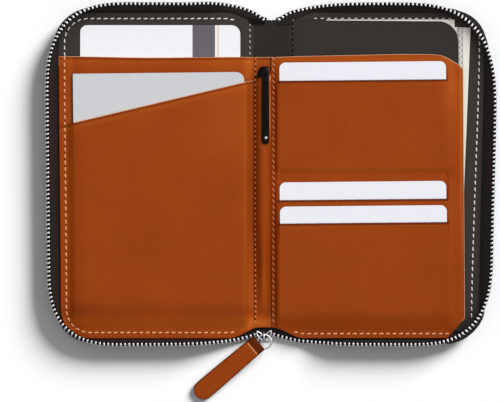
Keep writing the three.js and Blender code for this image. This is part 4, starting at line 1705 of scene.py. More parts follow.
    def chain_half(self, side: int, word: str) -> None:
        """One half of the chain: a corded tape edge with its teeth.

        Args:
            side: -1 for left, 1 for right.
            word: left or right, for the names.
        """
        points = self.rim(side, self.chain_edge(side), 4.1, 6.4 if side < 0 else 1.4, 1.2)
        if side > 0:
            points = points[::-1]
        line = [(x, y, self.height(x)) for x, y in points]
        bead = tube(f"bead_{word}", line[::2], 0.85, BEAD, 10)
        bend(bead, side)
        tooth = self.tooth()
        tooth.data.transform(Matrix.Rotation(pi, 4, "Z"))
        teeth = Row(NICKEL, self.pitch, 12.0, 0.05, seed=5).along(f"teeth_{word}", line, tooth)
        sharpen(teeth, 40)
        bend(teeth, side)
        ends = [f"chain_end_{place}_{word}" for place in ("top", "bottom")]
        stand_in(teeth, "nickel", f"zip_chain_{word}", *ends)

    def bridge(self) -> None:
        """The piece of tape that closes the gap between both halves at the foot of the spine."""
        sheet = Sheet("tape_bridge_cloth", TAPE, BEAD, 0.35, 0.1)
        shares = spread(0, 1, 0.12)

        def rows(x: float) -> np.ndarray:
            """Rows from the chain's line up under the case."""
            low = self.foot_at(x) + 0.2
            return low + (self.ground.case.y(x, -1) + 2.2 - low) * shares

        sheet.grid(spread(-9.2, 9.2, 0.9), rows, lambda x, y: 1.62)
        made = sheet.build()
        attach(made, "spine")
        stand_in(made, "zip_tape", "tape_bridge")

    def build(self) -> None:
        """Builds both tapes and chains and the bridge at the foot of the spine."""
        for side, word in ((-1, "left"), (1, "right")):
            self.tape_half(side, word)
            self.chain_half(side, word)
        self.bridge()


def box_solid(name: str, x: Pair, y: Pair, z: Pair,
              finish: Finish, bevel: float) -> Piece:
    """Box between limits with edges rounded by bevel."""
    outline = [(x[0], y[0]), (x[1], y[0]), (x[1], y[1]), (x[0], y[1])]
    return prism(name, outline, z[0], z[1], finish, bevel)


@dataclass
class Slider:
    """Die-cast zip slider with its jump ring and the folded leather pull."""

    x: float = -3.8
    y: float = -82.1
    width: float = 7.2
    length: float = 7.4
    ring_radius: float = 3.6
    wire: float = 0.45
    ring_z: float = 4.85
    heading: float = 220.6
    droop: float = 4.9
    tab_length: float = 41.3
    tab_width: float = 9.8
    tab_thick: float = 2.2
    tab_shift: float = -1.5  # how far the strap lies beside the eye
    ring_shift: float = 0.25  # how far the ring's near side lies beyond the slider's middle
    skin: float = 0.42  # half the thickness of the leather in the strap's loop

    def moved(self, points: Iterable[Sequence[float]]) -> list[tuple[float, ...]]:
        """Points given from the slider's middle, moved to its place."""
        return [(self.x + x, self.y + y, *z) for x, y, *z in points]

    def lower_wing(self) -> Piece:
        """The shield-shaped plate under the chain.

        Returns:
            The plate.
        """
        half, tall = self.width / 2, self.length / 2
        right = [(0.0, tall), (half * 0.42, tall), (half * 0.68, tall - 0.5), (half * 0.8, tall - 1.6),
                 (half * 0.97, -tall + 2.2), (half, -tall + 1.1), (half * 0.86, -tall + 0.25),
                 (half * 0.55, -tall), (half * 0.25, -tall + 0.5), (0.0, -tall + 0.75)]
        left = [(-x, y) for x, y in reversed(right[1:-1])]
        return prism("slider_lower", self.moved(reversed(right + left)), 0.02, 0.85, NICKEL, 0.28)

    def bow(self) -> Piece:
        """The upper wing: a dished plate in nickel darkened as painted shade, within a bright raised rim.

        Returns:
            The wing.
        """
        outline = [(-3.5, 2.0), (-2.3, 1.3), (-1.1, 0.5), (0.1, -0.1), (1.1, 0.5), (2.3, 1.5), (3.5, 2.3),
                (3.75, 1.2), (3.1, -0.1), (2.2, -1.2), (1.0, -2.1), (-0.2, -2.4), (-1.5, -2.0), (-2.8, -0.9),
                (-3.6, 0.6)]
        plate = prism("slider_dish", self.moved(outline[::-1]), 3.1, 3.7, DARK_NICKEL)
        turned = outline + outline[:2]
        path = smooth_path(self.moved((x, y, 3.7) for x, y in turned), 90)[:-6]
        rim = tube("slider_rim", path, 0.42, NICKEL, 12)
        return merged("slider_upper", [plate, rim])

    def slider(self) -> Piece:
        """The slider: two wings, the post between them and the arch that holds the ring.

        Returns:
            The joined piece.
        """
        wedge = self.moved([(-0.9, -2.4), (0, -3.0), (0.9, -2.4), (0, 0.6)])
        post = prism("slider_post", wedge, 0.5, 3.5, NICKEL)
        path = self.moved([(0, -2.2, 3.4), (0, -2.4, 4.6), (0, -1.9, 5.6), (0, -0.9, 6.1), (0, 0.3, 6.0),
                           (0, 1.2, 5.2), (0, 1.5, 4.2), (0, 1.5, 3.4)])
        arch = tube("slider_arch", smooth_path(path, 28), 0.42, NICKEL, 16)
        middle = Matrix.Translation((self.x * MM, 0, 0))
        arch.data.transform(middle @ Matrix.Diagonal((1.3, 1, 1, 1)) @ middle.inverted())
        return merged("slider_body", [self.lower_wing(), self.bow(), post, arch])

    def ring(self) -> Piece:
        """Round nickel wire bent to a closed ring."""
        path = [self.on_ring(a) for a in np.linspace(0, 2 * pi, 64, endpoint=False)]
        return tube("jump_ring", path, self.wire, NICKEL, 16, closed=True)

    def on_ring(self, turn: float) -> np.ndarray:
        """Middle of the ring's wire at a turn in radians from +X."""
        x, y, r = self.x + self.ring_shift, self.y + self.ring_shift - self.ring_radius, self.ring_radius
        return np.array([x + r * cos(turn), y + r * sin(turn), self.ring_z])

    def placed(self, made: Piece) -> Piece:
        """Moves a piece modelled along +X from the eye to its place.

        Args:
            made: the piece.

        Returns:
            The same piece.
        """
        heading = radians(self.heading)
        dip = Matrix.Rotation(radians(self.droop), 4, "Y")
        eye = Matrix.Translation(Vector(self.on_ring(heading) * MM))
        made.data.transform(eye @ Matrix.Rotation(heading, 4, "Z") @ dip)
        return made

    def half_width(self, s: float) -> float:
        """Half the strap's width at s along it: parallel sides and a round end.

        Args:
            s: place along the strap.

        Returns:
            Half the width.
        """
        half = self.tab_width / 2
        past = max(0.0, s - (self.tab_length - half))
        return sqrt(max(0.0, half**2 - past**2)) * (1 - 0.1 * (1 - min(1.0, s / 30)))

    def strap_layer(self, name: str, low: float, high: float, start: float, hood: float = 0.0
                    ) -> Piece:
        """One layer of the folded strap, softly rounded over its width.

        Args:
            name: its name.
            low: height of its underside.
            high: height of its top.
            start: where it starts along the strap.
            hood: how much it rises where it passes over the ring.

        Returns:
            The object.
        """
        half = self.tab_width / 2
        turn = np.linspace(0, pi / 2, 12)
        straight = spread(4.4, self.tab_length - half, 1.2)
        columns = np.concatenate([spread(start, 4.4, 0.35)[:-1], straight,
                                  self.tab_length - half + half * np.sin(turn)[1:]])
        share = np.array([-1, -0.94, -0.88, -0.76, -0.6, -0.4, -0.2, 0, 0.2, 0.4, 0.6, 0.76, 0.88, 0.94, 1])

        def tone(s: float, w: float) -> float:
            """Darker at the strap's edges, with painted shade where it is folded at the ring by the slider.
            """
            rim = max(0.0, self.half_width(s) - abs(w))
            return -0.3 * (1 - ease((rim - 0.15) / 0.55)) - 0.38 * (1 - ease((s - 2.0) / 1.4))

        sheet = Sheet(name, TAN, EDGE, high - low, 0.2)
        sheet.grid(columns, lambda s: self.tab_shift + share * max(0.02, self.half_width(s)),
                   lambda s, w: high - 0.35 * (abs(w - self.tab_shift) / half) ** 4 - 0.25 * bell(s, 3.3, 0.9)
                   + hood * (1 - ease((s - 0.7) / 1.6)), lambda s, w: tone(s, w - self.tab_shift))
        return sheet.build()

    def pull(self) -> Piece:
        """Leather strap folded round the ring: both layers and the loop.

        Returns:
            The strap.
        """
        upper = self.strap_layer("pull_upper", 0.35, self.tab_thick / 2, -1.1, 0.3)
        lower = self.strap_layer("pull_lower", -self.tab_thick / 2, 0.35, 1.0)
        turns = np.radians(np.linspace(48, 312, 23))
        middle = self.wire + 0.3 + self.skin
        bow = [(middle * cos(a), 0.0, middle * sin(a)) for a in turns]
        path = np.array([(1.7, 0.0, 0.66), *bow, (1.7, 0.0, -0.66)])
        sections = [[(x, w, z) for w in np.linspace(-1.32, 1.32, 7)] for x, _, z in path]
        loop = self.loop(path, sections)
        return self.placed(merged("pull_strap", [upper, lower, loop]))

    def loop(self, path: np.ndarray, sections: Sequence[Sequence[Point]]) -> Piece:
        """The leather where it passes through the ring.

        Args:
            path: middle line of the leather.
            sections: points across it at each place.

        Returns:
            The loop.
        """
        middle = np.array(sections)
        heading = np.gradient(path, axis=0)
        normal = np.stack([heading[:, 2], np.zeros(len(path)), -heading[:, 0]], axis=1)
        normal /= np.linalg.norm(normal, axis=1, keepdims=True)
        grid = middle - normal[:, None, :] * self.skin
        made = Ribbon("pull_loop", TAN, -2 * self.skin).build(grid.tolist())
        made.data.materials.append(EDGE.material())
        return made

    def pull_stitches(self) -> Piece:
        """Two long light stitches in one line across the strap behind the ring.

        Returns:
            Both stitches as one piece.
        """
        s, top = 3.4, self.tab_thick / 2 - 0.2
        strands = []
        for half in (-1, 1):
            w = self.tab_shift + half * 1.85
            bow = [(s, w - 1.7, top - 0.14), (s, w - 1.2, top + 0.14), (s + 0.1, w, top + 0.2),
                   (s, w + 1.2, top + 0.14), (s, w + 1.7, top - 0.14)]
            strands.append(tube(f"strand_{half}", smooth_path(bow, 12), 0.3, ORANGE_THREAD, 8))
        return self.placed(merged("pull_stitching", strands))

    def build(self) -> None:
        """Builds the slider, the ring and the pull and lets them ride on their bodies."""
        for made, body, slot, node in ((self.slider(), "spine", "nickel", "slider"),
                                       (self.ring(), "ring", "nickel", "pull_ring"),
                                       (self.pull(), "tab", "tan_leather", "pull_tab")):
            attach(made, body)
            stand_in(made, slot, node)
        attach(self.pull_stitches(), "tab")


def smooth_path(points: Sequence[Sequence[float]], count: int) -> np.ndarray:
    """Draws a smooth curve through points, by Catmull and Rom's rule.

    Args:
        points: what it passes through.
        count: how many points it has.

    Returns:
        Its points.
    """
    given = np.array(points, dtype=float)
    padded = np.concatenate([[2 * given[0] - given[1]], given, [2 * given[-1] - given[-2]]])
    found = []
    for u in np.linspace(0, len(given) - 1, count):
        i = min(int(u), len(given) - 2)
        t = u - i
        a, b, c, d = padded[i:i + 4]
        found.append(0.5 * (2 * b + (c - a) * t + (2 * a - 5 * b + 4 * c - d) * t**2
                            + (3 * b - a - 3 * c + d) * t**3))
    return np.array(found)


# ------------------------------------------------------------------ left half
@dataclass
class LeftPockets:
    """Ticket pocket and slanting passport pocket, each one sheet from the left edge over the spine."""

    ground: Ground = GROUND
    inset: float = 0.15
    pocket_top: float = 60.8
    slope: float = 0.2363
    end_x: float = 2.65
    pen_seam_x: float = -8.7  # where the slanting edge meets the pen's seam, and its height there
    slant_top: float = 48.9
    slant_foot: float = 24.9

    def flap_edge(self, x: float) -> float:
        """Top edge of the slanting pocket; over the pen it levels out, right of it it climbs.

        Args:
            x: where across it.

        Returns:
            The edge's y.
        """
        past = x - self.pen_seam_x
        if past < 0:
            return max(self.slant_top + past * self.slope, self.slant_foot)
        return self.slant_top + min(past * 0.42, 1.6) + min(max(0.0, x + 2.2) * 1.4, 4.2)

    def upper_edge(self, x: float) -> float:
        """Top edge of the ticket pocket, a little lower towards the middle of the cover."""
        return self.pocket_top + 0.35 * bell(x, -108, 26) - 0.35 * bell(x, -62, 24)

    def columns(self) -> np.ndarray:
        """Rising columns from the outer edge to the right seam.

        Returns:
            Values of x.
        """
        cover = self.ground.case.columns(-1, self.inset, 13.0)
        left = self.ground.passport[0]
        extra = np.concatenate([spread(-13.0, self.end_x, 0.4), spread(left - 4.6, left + 1.5, 0.35)])
        return np.unique(np.round(np.concatenate([cover, extra]), 4))

    def rows(self, top_at: Callable[[float], float]) -> Callable[[float], np.ndarray]:
        """Rows from the foot of the case up to an edge.

        Args:
            top_at: y of the edge for each x.

        Returns:
            Function from x to its rows.
        """
        def rows_of(x: float) -> np.ndarray:
            """Rows at x, closest together at the foot and below the edge.

            Args:
                x: where across it.

            Returns:
                Values of y.
            """
            foot = self.ground.case.y(x, -1, self.inset + (0.2 if x > -11 else 0.0))
            head = top_at(x)
            shares = np.concatenate([spread(0, 0.12, 0.006), spread(0.12, 1.0, 0.022)[1:]])
            return np.concatenate([foot + (head - foot - 1.8) * shares,
                                   head - np.array([1.3, 0.95, 0.7, 0.45, 0.2, 0.0])])
        return rows_of

    def tone(self, x: float, y: float, head: float) -> float:
        """Painted shade at the passport's shoulders, a darker band below the top edge, painted highlights
        over the passport and by the pen.

        Args:
            x: where across it.
            y: where up it.
            head: y of the top edge there.

        Returns:
            The tone, above zero where it is lighter.
        """
        left, _, low, _ = self.ground.passport
        # Painted shade at the passport's left and lower shoulders and its lower left corner; darker just
        # below the top edge.
        dark = 0.06 * bell(x, left + 1.2, 3.0) - 0.15 * bell(x, left - 2.3, 1.4)
        dark += 0.13 * bell(y, low + 2.6, 3.2) - 0.2 * bell(y, low - 3.2, 2.4)
        dark += 0.07 * bell(x, left + 5, 7.0) * bell(y, low + 4, 7.0)
        dark += 0.2 * bell(head - y, 0.75, 0.5) - 0.12 * bell(head - y, 1.75, 0.35)
        # Painted highlights: by the passport's right shoulder, towards the spine, over the pen's lower end,
        # beside the pen and its clip, and along the perimeter seam.
        light = 0.05 * bell(x, -13.2, 3.0) + 0.03 * bell(y, 40, 40)
        light += 0.09 * bell(x, -22, 12) * ease((y + 5) / 30)
        light += 0.12 * bell(x, -5.6, 3.6) * (1 - ease((y + 58) / 16))
        light += 0.16 * bell(x, -11.0, 1.9)
        light += 0.5 * bell(x, -0.75, 0.4) * ease((y - 16) / 8) * ease((head - y) / 1.5)
        light += 0.05 * bell(self.ground.edge_distance(x, y), 3.0, 1.6)
        return light - dark

    def build(self) -> None:
        """Builds both pockets and their seams."""
        # The ticket pocket's top edge shows a painted highlight.
        under = Sheet("ticket_pocket_leather", TAN, EDGE, 0.8, 0.2, pale=lambda x, y: y > 58)
        left = self.ground.passport[0]
        # Extra tone: painted shadow in the gap along the passport's left edge, a painted highlight left of
        # the pen, painted shadow between the pen's cap and the leather on its right.
        under.grid(self.columns(), self.rows(self.upper_edge), self.ground.pocket, lambda x, y: (
            self.tone(x, y, self.upper_edge(x)) - 0.8 * bell(x, left - 0.35, 0.7) * (y < 52.4)
            + 0.12 * bell(x, -11.6, 2.6) * bell(y, 54.6, 7.0) - 0.6 * bell(x, -0.4, 0.5) * (y > 52.5)))
        lower = under.build()
        bend(lower, -1)
        stand_in(lower, "tan_leather", "ticket_pocket", "spine_strip")
        # The slanting edge shows a painted highlight from over the passport to the pen's seam.
        over = Sheet("slant_pocket_leather", TAN, EDGE, 0.75, 0.24,
                     pale=lambda x, y: y > self.flap_edge(x) - 0.1 and -101.4 < x < self.pen_seam_x)
        over.grid(self.columns(), self.rows(self.flap_edge), self.ground.flap,
                  lambda x, y: self.tone(x, y, self.flap_edge(x)))
        upper = over.build()
        bend(upper, -1, 9.4, 13.0)
        stand_in(upper, "tan_leather", "slant_pocket", "pen_tunnel")
        self.seams()

    def top(self, x: float, y: float) -> float:
        """Highest of the two pockets at a point."""
        return self.ground.flap(x, y) if y < self.flap_edge(x) else self.ground.pocket(x, y)

    def seams(self) -> None:
        """The perimeter seam on leather and on lining, and the seam left of the pen."""
        case = Case(self.ground)
        path = case.perimeter(-1, start=19.5)
        split = [i for i, p in enumerate(path) if p[1] < self.pocket_top]
        last = split[-1]
        side_x = path[last][0]
        leather = [*path[:last + 1], (side_x, self.pocket_top - 0.4)]
        cloth = [(side_x, self.pocket_top + 1.6), *path[last + 1:]]
        sewn = Seam(TAN_THREAD, pit=LEATHER_HOLE_SHADE).sew("seam_left_leather", leather, self.top)
        bend(sewn, -1)
        plain = Seam(CREAM_THREAD, width=0.66).sew("seam_left_lining", cloth, self.ground.lining)
        bend(plain, -1)
        pen_side = [(-8.1, case.ground.case.y(-8.1, -1, 3.4)), (-8.1, 60.0)]
        spine = PEN_SEAM.sew("seam_pen_left", pen_side, self.top)
        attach(spine, "spine")


# ------------------------------------------------------------------ right half
@dataclass
class CardLeaf:
    """Card leaf: one sheet of leather with three slits, sewn to the spine and round its foot."""

    ground: Ground = GROUND
    left: float = 0.35

    def top_edge(self, x: float) -> float:
        """Top edge: almost straight, then a long soft corner."""
        return float(np.interp(x, [0.3, 14, 66, 81.5, 86.7, 89.2, 91.8, 94.4, 96.6, 98.6],
                               [60.6, 61.1, 62.2, 62.15, 61.7, 60.9, 59.6, 58.1, 56.6, 54.6]))

    def foot_edge(self, x: float) -> float:
        """Foot: along the case, then a straight cut corner."""
        along = self.ground.case.y(x, -1, 0.3)
        return max(along, float(np.interp(x, [90.4, 98.6], [-83.5, -73.2])))

    def lean(self, x: float, y: float) -> float:
        """The right edge runs out a little towards the foot."""
        return 0.9 * ease((x - 86) / 12) * (20 - y) / 130

    def rows(self, x: float) -> list[tuple[float, int]]:
        """Rows of the column at x from foot to top, each with its tier.

        Args:
            x: where across it.

        Returns:
            Pairs of y and tier.
        """
        low, middle, high = (s + self.ground.rise(x) for s in reversed(self.ground.slits))
        foot, head = self.foot_edge(x), max(self.top_edge(x), high + 1.0)
        below_lip = np.array([3.3, 2.7, 2.3, 1.9, 1.5, 1.1, 0.85, 0.7, 0.45, 0.2, 0.0])
        rising = np.array([0.8, 1.7, 2.6, 3.6, 4.8, 6.4, 8.2, 10.0, 11.6, 13.2, 15, 18, 22, 26, 28.5, 31])
        foots = np.minimum(foot + rising, low - 3.6)
        tiers = (
            [foot, *foots, *(foots[-1] + (low - 3.6 - foots[-1]) * spread(0, 1, 0.07)[1:]),
             *(low - below_lip)],
            [*(low + (middle - 3.6 - low) * spread(0, 1, 0.2)), *(middle - below_lip)],
            [*(middle + (self.ground.card_foot[0] - 5 - middle) * spread(0, 1, 0.14)),
             *(self.ground.card_foot[0] + spread(-4.4, 1.6, 0.6)),
             *(self.ground.card_foot[0] + 2 + (high - 5.8 - self.ground.card_foot[0]) * spread(0, 1, 0.06)),
             *(high - below_lip)],
            high + (head - high) * spread(0, 1, 0.09),
        )
        return [(y, 3 - number) for number, rows in enumerate(tiers) for y in rows]

    def tone(self, x: float, y: float, tier: int) -> float:
        """Slit lips darker, partly edge paint and partly painted shade; painted highlights on pressed lines
        and on top and outer edges.

        Args:
            x: where across it.
            y: where up it.
            tier: 0 above the first slit, 3 below the last.

        Returns:
            The tone, above zero where it is lighter.
        """
        # Darker towards the foot; at each slit's lip, edge paint and painted shade in the gap, then a painted
        # highlight on the pressed line.
        dark = 0.03 * bell(y, -82.0, 2.4) + 0.03 * (1 - ease((y + 60) / 60))
        if tier and self.ground.slit_left - 0.3 < x < self.ground.slit_right:
            below = self.ground.slits[tier - 1] + self.ground.rise(x) - y
            dark += 0.34 * (1 - ease((below - 0.8) / 0.5)) - 0.1 * bell(below, 1.7, 0.5)
        # Painted highlights: along the outer edge, towards the outer top corner, along the top edge and below
        # the first card's foot; a little lighter across the middle.
        light = 0.34 * bell(x, self.ground.leaf_right - 1.1, 0.5) * ease((y + 60) / 60)
        light += 0.2 * bell(x, 92.5, 4.5) * ease((y - 10) / 40) + 0.16 * bell(y, 60.0, 3.6)
        if self.ground.slit_left < x < self.ground.slit_right and tier == 1:
            light += 0.24 * bell(y, self.ground.card_foot[0] - 1.8, 1.2)
        return light + 0.02 * bell(x, 55, 34) - dark

    def leather(self) -> Piece:
        """The sheet; vertices either side of a slit are the same beyond its ends.

        Returns:
            The leaf's leather.
        """
        # The leaf's top and outer edges show a painted highlight.
        sheet = Sheet("card_leaf_leather", TAN, EDGE, 0.7, 0.2, pale=lambda x, y: y > 54.4 or x > 97.8)
        ground = self.ground
        cut_left, cut_right = ground.slit_left, ground.slit_right
        columns = np.unique(np.round(np.concatenate([
            spread(self.left, cut_left, 0.3), spread(cut_left, cut_left + 0.8, 0.12),
            spread(cut_left + 0.8, 12, 0.8), spread(12, 82, 2.4), spread(82, cut_right - 1.0, 0.8),
            spread(cut_right - 1.0, cut_right, 0.14), spread(cut_right, ground.leaf_right, 0.7)]), 4))
        lines: list[list[tuple[int, int]]] = []
        for x in columns:
            line: list[tuple[int, int]] = []
            for y, tier in self.rows(x):
                if line and line[-1][1] != tier and not cut_left < x < cut_right:
                    line.append((line[-1][0], tier))
                    continue
                height = ground.leaf(x, y, tier)
                line.append((sheet.vertex(x + self.lean(x, y), y, height, self.tone(x, y, tier)), tier))
            lines.append(line)
        for near, far in zip(lines, lines[1:]):
            for i in range(len(near) - 1):
                if near[i][1] == near[i + 1][1]:
                    ring = (near[i][0], far[i][0], far[i + 1][0], near[i + 1][0])
                    face = tuple(dict.fromkeys(ring))
                    if len(face) > 2:
                        sheet.faces.append(face)
        return sheet.build()

    def top(self, x: float, y: float) -> float:
        """Height of the leaf at a point, whichever tier lies there."""
        tier = sum(y < s + self.ground.rise(x) for s in self.ground.slits)
        return self.ground.leaf(x, y, tier)

    def build(self) -> None:
        """Builds the leaf and its two seams."""
        made = self.leather()
        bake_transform(made)
        stand_in(made, "tan_leather", "card_leaf", "leaf_strip")
        spine = LEAF_SEAM.sew(
            "seam_pen_right", [(1.1, self.ground.case.y(1.1, -1, 3.6)), (1.1, 60.0)], self.top)
        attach(spine, "spine")
        foot = [(x, self.foot_edge(x) + 2.2) for x in spread(12.6, 90.2, 2.0)]
        lower = Seam(TAN_THREAD, pitch=3.34, pit=LEATHER_HOLE_SHADE).sew("seam_leaf_foot", foot, self.top)
        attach(lower, "card_leaf_body")


@dataclass
class RightLining:
    """Divider in front of the notes and the seams that show on the lining."""

    ground: Ground = GROUND
    divider_foot: float = -80.0
    divider_z: float = 4.3

    def lean(self, x: float, y: float) -> float:
        """How far the outer part of the divider leans outwards towards its foot."""
        return 0.012 * (60 - y) * ease((x - 60) / 36)

    def divider_top(self, x: float) -> float:
        """Top edge of the divider with its rounded outer corner."""
        return float(np.interp(x, [11, 40, 87.2, 89.8, 91.8, 93.4, 94.8, 95.6, 96.1],
                               [79.7, 79.5, 79.1, 78.4, 77.4, 75.9, 74.2, 72.4, 69.0]))

    def build(self) -> None:
        """Builds the divider and the seams."""
        sheet = Sheet("divider_cloth", DIVIDER, LINING_EDGE, 0.6, 0.2)
        shares = spread(0, 1, 0.04)
        columns = np.concatenate([spread(11.4, 86, 3.0), spread(86, 96.1, 0.6)[1:]])
        foot = self.divider_foot
        sheet.grid(columns, lambda x: foot + (self.divider_top(x) - foot) * shares,
                   lambda x, y: self.divider_z + 0.12 * bell(x, 55, 30) - 0.7 * bell(x, 11.4, 3.0),
                   shift=self.lean)
        made = sheet.build()
        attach(made, "right_cover")
        stand_in(made, "dark_lining", "divider")
        case = Case(self.ground)
        path = case.perimeter(1, False, 22.0, 2.9)
        side = [(x + 0.7 * ease((x - 96) / 9) * ease((y + 75) / 90), y)
                for x, y in [(105.6, -72.0), *path] if y < 72]
        head = [p for p in path if p[1] > 80 and p[0] < 94]
        sewn = drawn_in(Seam(CREAM_THREAD, width=0.66).sew("seam_right_lining", side, self.ground.lining))
        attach(sewn, "right_cover")
        upper = Seam(CREAM_THREAD, width=0.5, length=1.8).sew("seam_right_head", head, self.ground.lining)
        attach(upper, "right_cover")


# ------------------------------------------------------------------ what the folio holds
@dataclass
class Documents:
    """Passport, ticket, bank cards and banknotes, all blank apart from plain bands and a wave.

    A plan is the lowest and highest x, then the lowest and highest y.
    """

    ground: Ground = GROUND
    board: float = 0.45
    back_z: float = 4.55
    front_z: float = 6.1
    leaves: Pair = (5.02, 1.06)  # height and thickness of the block
    hinge: Pair = (5.55, 0.98)  # height and radius of the booklet's round spine
    askew: float = 0.6
    shifted: float = 0.25
    ticket_plan: Four = (-98.4, -16.0, -72.6, 77.4)
    ticket_size: Pair = (3.0, 0.3)  # height and thickness
    card: Four = (85.6, 54.0, 0.76, 3.18)  # width, height, thickness, corner
    card_left: float = 4.25
    card_places: tuple[Point, ...] = ((0.0, 58.35, 5.68), (0.15, -3.15, 5.68), (0.3, -15.6, 7.64))
    front_note: Four = (28.3, 94.3, -75.7, 80.3)
    rear_note: Four = (33.4, 99.4, -78.5, 77.5)
    note_z: Pair = (3.4, 3.0)
    note: float = 0.2
    rear_turn: float = -2.3

    def passport(self) -> None:
        """Booklet: two cover boards with a round spine edge and the block of leaves between them."""
        left, right, low, high = self.ground.passport
        plan = rounded_outline(left, right, low, high, (0.4, 3.2, 4.2, 0.4), 8)
        front = slab("passport_front", plan, self.front_z, self.board, PASSPORT_CARD, bevel=0.14)
        back = slab("passport_back", plan, self.back_z, self.board, PASSPORT_CARD, bevel=0.14)
        axis, radius = self.hinge
        line = [(left + 0.8, y, axis) for y in (low + 0.3, high - 0.3)]
        spine = tube("passport_hinge", line, radius, PASSPORT_CARD, 16)
        boards = merged("passport_boards", [front, back, spine])
        inner = rounded_outline(left + 0.9, right - 0.6, low + 0.6, high - 0.6, (0.4, 3.0, 3.9, 0.4), 8)
        block = slab("passport_leaf_block", inner, *self.leaves, PAGE_PAPER, bevel=0.1)
        middle = Matrix.Translation(Vector(((left + right) / 2, (low + high) / 2, 0.0)) * MM)
        turn = middle @ Matrix.Rotation(radians(self.askew), 4, "Z") @ middle.inverted()
        for made in (boards, block):
            made.data.transform(Matrix.Translation((self.shifted * MM, 0.0, 0.0)) @ turn)
            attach(made, "passport")
        stand_in(boards, "passport_grey", "passport_cover")
        stand_in(block, "page_paper", "passport_pages")

    def ticket(self) -> None:
        """Boarding card with rounded corners."""
        outline = rounded_outline(*self.ticket_plan, (3.6, 3.6, 4.7, 3.6), 8)
        made = slab("ticket_card", outline, *self.ticket_size, TICKET_CARD, bevel=0.05)
        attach(made, "ticket_body")
        stand_in(made, "white_paper", "ticket")

    def cards(self) -> None:
        """Three blank white cards, a little askew in their slits."""
        wide, tall, thick, corner = self.card
        for number, (shift, top, z) in enumerate(self.card_places, 1):
            left = self.card_left + shift
            outline = rounded_outline(left, left + wide, top - tall, top, (corner,) * 4, 8)
            made = slab(f"bank_card_{number}", outline, z, thick, CARD_PLASTIC, bevel=0.08,
                        turn=self.ground.tilt * 180 / pi)
            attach(made, f"card_{number}_body")
            stand_in(made, "card_white", f"card_{number}")

    def notes(self) -> None:
        """Two banknotes behind the divider."""
        front = Paper("front_note_paper", "efecdf", roughness=0.85)
        rear = WavyNote("rear_note_paper", "f1ede2", roughness=0.85, edge_x=102.5)
        for word, plan, z, paper, turn in (("front", self.front_note, self.note_z[0], front, 0.0),
                                           ("rear", self.rear_note, self.note_z[1], rear, self.rear_turn)):
            made = slab(f"banknote_{word}", rounded_outline(*plan, (0.3,) * 4, 2), z, self.note, paper,
                        bevel=0.03, turn=turn)
            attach(made, f"note_{word}_body")
            stand_in(made, "note_paper", f"note_{word}")

    def build(self) -> None:
        """Builds everything the folio holds."""
        self.passport()
        self.ticket()
        self.cards()
        self.notes()


@dataclass
class Pen:
    """Black lacquered pen with a cap and a sprung clip that carries a nickel ball near its foot."""

    ground: Ground = GROUND
    radius: float = 3.2
    top: float = 56.0
    cap: float = 41.0
    barrel_foot: float = -45.0
    clip_x: float = -3.15
    clip_width: float = 4.05
    clip_foot: float = 16.0

    def build(self) -> None:
        """Builds cap, barrel, nose and clip."""
        x, r, top = self.ground.pen_x, self.radius, self.top
        down = [(0, 0), (0.05, 0.9), (0.4, 1.5), (1.1, 2.15), (2.1, 2.75), (3.2, r - 0.15), (3.9, r - 0.12),
                (4.0, r), (self.cap - 1.2, r), (self.cap - 0.4, r + 0.08), (self.cap, r - 0.05),
                (self.cap, 0)]
        cap = lathe("pen_cap_lacquer", [(top - y, wide) for y, wide in down], x, self.ground.pen_z, LACQUER)
        first = top - self.cap - 0.25
        body = [(first, 0), (first, r - 0.4), (first - 0.4, r - 0.12)]
        foot, tip = self.barrel_foot, self.ground.pen_tip
        body += [(y, self.ground.pen_radius(y) - 0.2) for y in spread(self.ground.pen_taper, foot, 2.5)]
        body += [(foot, 0)]
        barrel = lathe("pen_barrel_lacquer", body, x, self.ground.pen_z, LACQUER)
        end = self.ground.pen_radius(foot) - 0.25
        point = [(foot - 0.25, 0), (foot - 0.25, end), (foot - 4, end * 0.8), (tip + 1, 0.55), (tip, 0.3),
                 (tip, 0)]
        nose = lathe("pen_nose", point, x, self.ground.pen_z, NICKEL)
        for made, slot, node in ((cap, "pen_black", "pen_cap"), (barrel, "pen_black", "pen_barrel"),
                                 (nose, "nickel", "pen_tip"), (self.clip(), "pen_black", "pen_clip")):
            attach(made, "pen")
            stand_in(made, slot, node)

    def clip(self) -> Piece:
        """Flat sprung clip that bows over the leather; its nickel ball is a piece of its own.

        Returns:
            The clip without the ball.
        """
        stations = [(self.top - 0.1, 9.4, 0.6), (self.top - 0.3, 10.6, 0.82), (self.top - 1.2, 11.35, 0.9),
                    (self.top - 4, 11.55, 0.92), (self.top - 16, 11.55, 0.96), (self.top - 30, 11.4, 1.0),
                    (self.clip_foot + 3.0, 11.25, 1.0), (self.clip_foot + 1.4, 11.2, 0.93),
                    (self.clip_foot + 0.5, 11.15, 0.74), (self.clip_foot, 11.1, 0.4)]
        fine = smooth_path(stations, 60)
        share = np.array([-1, -0.96, -0.75, -0.4, 0, 0.4, 0.75, 0.96, 1])
        sections = []
        for y, z, wide in fine:
            half = self.clip_width / 2 * wide
            sections.append([(self.clip_x + half * s, y, z + 0.22 * (1 - s * s)) for s in share])
        blade = Ribbon("pen_clip_blade", LACQUER, 0.45).build(sections)
        rounded(blade, 0.1, 2, 45)
        root = box_solid("pen_clip_root", (self.clip_x - 1.2, self.clip_x + 1.2),
                         (self.top - 3.2, self.top - 0.3), (8.8, 11.2), LACQUER, 0.2)
        made = merged("pen_clip_lacquer", [blade, root])
        seat, middle, height = self.clip_foot + 3.2, self.clip_x + 0.3, 11.3
        profile = [(seat + cos(a), sin(a)) for a in np.linspace(0, pi, 11)]
        ball = lathe("pen_clip_ball", profile, middle, height, NICKEL, 20)
        for point in ball.data.vertices:
            if abs(point.co.y - seat * MM) > 0.999 * MM:
                point.co.x, point.co.z = middle * MM, height * MM
        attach(ball, "pen")
        return made


